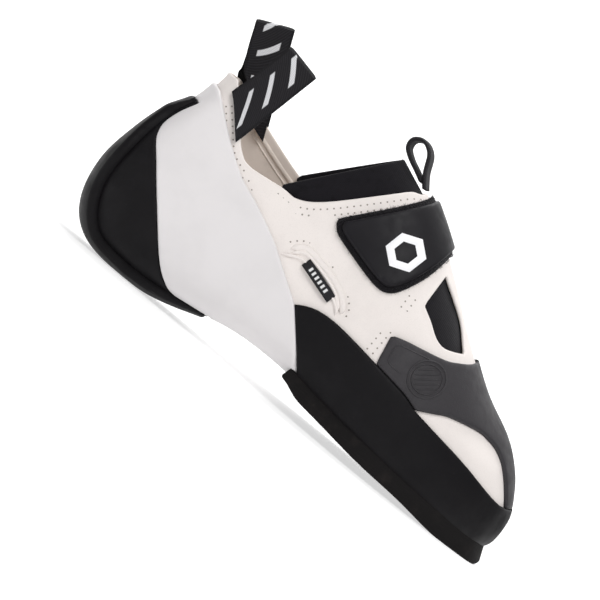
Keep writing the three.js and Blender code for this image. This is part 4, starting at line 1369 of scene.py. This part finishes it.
def heel_loop_grid(index):
    """Middle of one heel loop: up the outside of the collar, over, and down the inside"""
    side, x, z, reach, lean, drop = (HEEL_LOOPS[n][index] for n in HEEL_LOOPS)
    lean = math.radians(lean)
    up = np.array([math.sin(lean), math.cos(lean)])
    along = np.array([up[1], -up[0]])
    foot = place(x, z)
    edge = outline_points(COLLAR_OUTER if side == LATERAL else COLLAR_INNER)
    middle = on_side(side, foot)[0][0, 1]
    pull = reach - LOOP_FOLD
    shares = np.linspace(-0.5, 0.5, 15)
    starts = foot + np.outer(shares * LOOP_WIDTH, along)
    crests = []
    for start in starts:
        crest = reach / 2
        while distance_to(edge, (start + up * crest)[None])[0][0] > 0:
            crest -= LOOP_STEP / 4
        crests.append(crest + LOOP_RISE)
    crests = np.array(crests)

    def leg(climbs, rest, spread):
        rows = []
        for climb in climbs:
            free = max(climb, 0)
            height = crests + climb * drop if climb < 0 else mix(crests, pull, climb)
            seat = starts + np.minimum(height, crests)[:, None] * up
            touch = on_side(side, seat, rest)[0]
            spot = starts + height[:, None] * up
            release = ease(0, 0.3, free)
            y = mix(touch[:, 1], middle + side * spread, ease(0, 1, free))
            rows.append(np.stack([mix(touch[:, 0], spot[:, 0], release), y,
                                  mix(touch[:, 2], spot[:, 1], release)], 1))
        return rows

    climbs = (-1, -0.5, 0, 0.2, 0.5, 1)
    outer = leg(climbs, LOOP_ROOM + WEBBING / 2, LOOP_FOLD)
    inner = leg(climbs[::-1], -(UPPER_WALL + 2 * LOOP_ROOM + WEBBING / 2), -LOOP_FOLD)
    bend = []
    for degrees in (45, 90, 135):
        turn = math.radians(degrees)
        spot = mix(outer[-1], inner[0], (1 - math.cos(turn)) / 2)
        bend.append(spot + np.array([up[0], 0, up[1]]) * math.sin(turn) * LOOP_FOLD)
    return smooth_rows(np.array(outer + bend + inner), 5), side


def make_heel_loops():
    for index, name in enumerate(("outer", "inner")):
        grid, side = heel_loop_grid(index)
        points, faces, values = strip_solid(grid, WEBBING, LOOP_WIDTH, side)
        if side == LATERAL:
            faces = [f[::-1] for f in faces]
        add_piece(f"heel_loop_{name}_webbing", points, faces, [webbing_cloth],
                  [f"heel_loop_{name}"], values=values)


def make_tongue_loop():
    line = outline_points(TONGUE_LOOP, closed=False)
    middle = section_frame(np.array([9.0]))["middle"][0]
    turn = math.radians(TONGUE_LOOP_TURN)
    across = np.linspace(-0.5, 0.5, 11) * TONGUE_LOOP_WIDTH
    grid = np.array([[(x + c * math.sin(turn), middle + c * math.cos(turn), z) for c in across]
                     for x, z in line])
    points, faces, values = strip_solid(grid, TONGUE_LOOP_WALL, TONGUE_LOOP_WIDTH, LATERAL)
    faces = [f[::-1] for f in faces]
    add_piece("tongue_loop_webbing", points, faces, [plain_webbing],
              ["tongue_loop"], values=values)


# The stage

# Soft lights, each with the place it points to: key, fill, top and backdrop
LIGHTS = table(("x", "y", "z", "to_x", "to_y", "to_z", "size", "watts"), (
    (0.3, -1.4, 2.0, 0.08, 0, 0.05, 1.4, 31),
    (0.9, -2.1, 0.8, 0.08, 0, 0.05, 1.2, 4),
    (0.1, 1.0, 1.7, 0.08, 0, 0.05, 1.4, 9),
    (0, 1.2, 2.6, 0, 4.0, 0.7, 2.4, 150),
))
FLOOR_GLOW = 0.62
WORLD_LIGHT = 0.32

# The point that the camera looks at
CENTRE = Vector((0.0725, 0.008, 0.0439))


def make_floor(stage):
    """Pale floor that sweeps up behind the shoe"""
    half = stage.floor_size / 2
    flat, sweep = half * 0.55, half * 0.45
    line = [(-half, 0.0), (flat, 0.0)]
    for step in range(1, 17):
        turn = math.pi / 2 * step / 16
        line.append((flat + sweep * math.sin(turn), sweep * (1 - math.cos(turn))))
    line.append((half, half))
    points = [(x, y, z) for y, z in line for x in (-half, half)]
    faces = [(2 * i, 2 * i + 1, 2 * i + 3, 2 * i + 2) for i in range(len(line) - 1)]
    mesh = bpy.data.meshes.new("floor")
    mesh.from_pydata(points, [], faces)
    mesh.polygons.foreach_set("use_smooth", np.ones(len(faces), bool))
    f = Finish("pale_floor", (0.45, 0.45, 0.45), 0.6, specular_ior_level=0.2,
               emission_color=(1, 1, 1, 1), emission_strength=FLOOR_GLOW)
    f.tint((0.47, 0.47, 0.47), f.noise(400, 2).share(0.4, 0.7) * 0.3)
    mesh.materials.append(f.material)
    floor = bpy.data.objects.new("floor", mesh)
    bpy.context.scene.collection.objects.link(floor)


def make_lights(stage):
    for i, row in enumerate(zip(*LIGHTS.values())):
        *places, size, watts = row
        place_at, target = Vector(places[:3]), Vector(places[3:])
        data = bpy.data.lights.new(f"soft_light_{i + 1}", "AREA")
        data.shape = "DISK"
        data.size = size
        data.energy = watts * stage.light
        lamp = bpy.data.objects.new(data.name, data)
        lamp.location = place_at
        lamp.rotation_mode = "QUATERNION"
        lamp.rotation_quaternion = (target - place_at).to_track_quat("-Z", "Y")
        bpy.context.scene.collection.objects.link(lamp)
    world = bpy.data.worlds.new("studio")
    world.use_nodes = True
    background = world.node_tree.nodes["Background"]
    background.inputs[0].default_value = (1.0, 1.0, 1.0, 1.0)
    background.inputs[1].default_value = WORLD_LIGHT * stage.light
    bpy.context.scene.world = world


def make_camera(scene, stage):
    rise, roll = stage.rise, stage.roll
    back = Vector((0, -math.cos(rise), math.sin(rise)))
    right, up = Vector((1, 0, 0)), Vector((0, math.sin(rise), math.cos(rise)))
    turned_right = right * math.cos(roll) + up * math.sin(roll)
    turned_up = up * math.cos(roll) - right * math.sin(roll)
    data = bpy.data.cameras.new("camera")
    data.sensor_width = 36
    data.lens = 36 * stage.distance / stage.view_width
    data.clip_end = 100
    camera = bpy.data.objects.new("camera", data)
    scene.collection.objects.link(camera)
    axes = Matrix((turned_right, turned_up, back)).transposed().to_4x4()
    camera.matrix_world = Matrix.Translation(CENTRE + back * stage.distance) @ axes
    scene.camera = camera
    scene.view_settings.view_transform = "Standard"


# Settings


def colour(name, description, default):
    return FloatVectorProperty(name=name, description=description, default=default, min=0, max=1,
                               size=3, subtype="COLOR")


class ShoeColours(bpy.types.PropertyGroup):
    upper: colour("Upper", "Suede-like cloth of the upper", (0.82, 0.765, 0.735))
    lining: colour("Lining", "Cloth inside the collar", (0.84, 0.75, 0.68))
    knit: colour("Tongue", "Stretch cloth of the tongue", (0.007, 0.0062, 0.0082))
    rubber: colour("Rubber", "Rand, heel cup and heel strip", (0.0058, 0.0052, 0.0062))
    sole: colour("Sole", "Ground rubber of the outsole", (0.0085, 0.0076, 0.0078))
    patch: colour("Toe patch", "Grey rubber over the toes", (0.034, 0.0315, 0.035))
    band: colour("Heel band", "White rubber band", (0.74, 0.715, 0.72))
    pile: colour("Pile", "Brushed cloth under the strap", (0.0065, 0.0058, 0.0072))
    film: colour("Strap", "Smooth face of the strap", (0.0085, 0.0077, 0.0098))
    webbing: colour("Webbing", "Pull loops and tag", (0.013, 0.0122, 0.014))
    mark: colour("Mark", "Plain print on the strap", (0.9, 0.9, 0.92))


class ShoeSizes(bpy.types.PropertyGroup):
    hole_width: FloatProperty(name="Pinhole", description="Width of a needle hole in millimetres",
                              default=0.85, min=0.2, max=2)
    hole_spacing: FloatProperty(name="Pinhole spacing",
                                description="Distance between needle holes in millimetres",
                                default=3.1, min=1, max=10)
    mark_width: FloatProperty(name="Mark", description="Width of the strap's print in millimetres",
                              default=18.5, min=5, max=25)


class StageSettings(bpy.types.PropertyGroup):
    roll: FloatProperty(name="Roll", description="How far the view is turned about its own axis",
                        default=math.radians(39.6), subtype="ANGLE")
    rise: FloatProperty(name="Rise", description="Height of the view over the horizon",
                        default=math.radians(2.5), subtype="ANGLE")
    distance: FloatProperty(name="Distance", description="From the camera to the shoe",
                            default=3.0, unit="LENGTH")
    view_width: FloatProperty(name="View width", description="Width of the picture at the shoe",
                              default=0.2834, unit="LENGTH")
    light: FloatProperty(name="Light", description="Strength of the studio light", default=1.0)
    floor_size: FloatProperty(name="Floor", description="Side of the floor", default=8.0,
                              unit="LENGTH")


# Operators


class BuildsPieces:
    """What the operators that build pieces share"""

    makers = ()

    def execute(self, context):
        for maker in self.makers:
            maker()
        return {"FINISHED"}


class SHOE_OT_stage(bpy.types.Operator):
    """Adds the floor, the lights, the world and the camera"""

    bl_idname = "shoe.stage"
    bl_label = "Stage"

    def execute(self, context):
        scene = context.scene
        stage = scene.shoe_stage
        make_floor(stage)
        make_lights(stage)
        make_camera(scene, stage)
        return {"FINISHED"}


class SHOE_OT_upper(BuildsPieces, bpy.types.Operator):
    """Builds the cloth upper with its lining and seams"""

    bl_idname = "shoe.upper"
    bl_label = "Upper"
    makers = (make_upper, make_lining_seams, make_insole)


class SHOE_OT_tongue(BuildsPieces, bpy.types.Operator):
    """Builds the stretch tongue"""

    bl_idname = "shoe.tongue"
    bl_label = "Tongue"
    makers = (make_tongue,)


class SHOE_OT_rubber(BuildsPieces, bpy.types.Operator):
    """Builds the black rubber: rand, outsole, heel cup and heel strip"""

    bl_idname = "shoe.rubber"
    bl_label = "Black rubber"
    makers = (make_rand, make_outsole, make_heel_cup, make_heel_strip)


class SHOE_OT_heel_band(BuildsPieces, bpy.types.Operator):
    """Builds the white heel band"""

    bl_idname = "shoe.heel_band"
    bl_label = "Heel band"
    makers = (make_heel_band,)


class SHOE_OT_toe_patch(BuildsPieces, bpy.types.Operator):
    """Builds the grey toe patch and its moulded relief"""

    bl_idname = "shoe.toe_patch"
    bl_label = "Toe patch"
    makers = (make_toe_patch, make_patch_relief)


class SHOE_OT_strap(BuildsPieces, bpy.types.Operator):
    """Builds the strap, its pile and its print"""

    bl_idname = "shoe.strap"
    bl_label = "Strap"
    makers = (make_strap, make_strap_fuzz, make_mark)


class SHOE_OT_seams(BuildsPieces, bpy.types.Operator):
    """Builds the folded side seam, the tag and the needle holes"""

    bl_idname = "shoe.seams"
    bl_label = "Seams and tag"
    makers = (make_side_seam, make_side_tag, make_pinholes)


class SHOE_OT_loops(BuildsPieces, bpy.types.Operator):
    """Builds the webbing loops"""

    bl_idname = "shoe.loops"
    bl_label = "Pull loops"
    makers = (make_heel_loops, make_tongue_loop)


OPERATORS = (SHOE_OT_stage, SHOE_OT_upper, SHOE_OT_tongue, SHOE_OT_rubber, SHOE_OT_heel_band,
             SHOE_OT_toe_patch, SHOE_OT_strap, SHOE_OT_seams, SHOE_OT_loops)


class SHOE_PT_sidebar(bpy.types.Panel):
    """Lists the shoe's pieces and settings"""

    bl_idname = "SHOE_PT_sidebar"
    bl_label = "Climbing Shoe"
    bl_space_type = "VIEW_3D"
    bl_region_type = "UI"
    bl_category = "Climbing Shoe"

    def draw(self, context):
        for operator in OPERATORS:
            self.layout.operator(operator.bl_idname)
        for group in (context.scene.shoe_sizes, context.scene.shoe_colours,
                      context.scene.shoe_stage):
            for key in group.__annotations__:
                self.layout.prop(group, key)


CLASSES = (ShoeColours, ShoeSizes, StageSettings, *OPERATORS, SHOE_PT_sidebar)


def register():
    for cls in CLASSES:
        bpy.utils.register_class(cls)
    bpy.types.Scene.shoe_colours = PointerProperty(type=ShoeColours)
    bpy.types.Scene.shoe_sizes = PointerProperty(type=ShoeSizes)
    bpy.types.Scene.shoe_stage = PointerProperty(type=StageSettings)


def unregister():
    del bpy.types.Scene.shoe_stage
    del bpy.types.Scene.shoe_sizes
    del bpy.types.Scene.shoe_colours
    for cls in reversed(CLASSES):
        bpy.utils.unregister_class(cls)


def main():
    register()
    for operator in OPERATORS:
        group, name = operator.bl_idname.split(".")
        getattr(getattr(bpy.ops, group), name)()


if __name__ == "__main__":
    main()
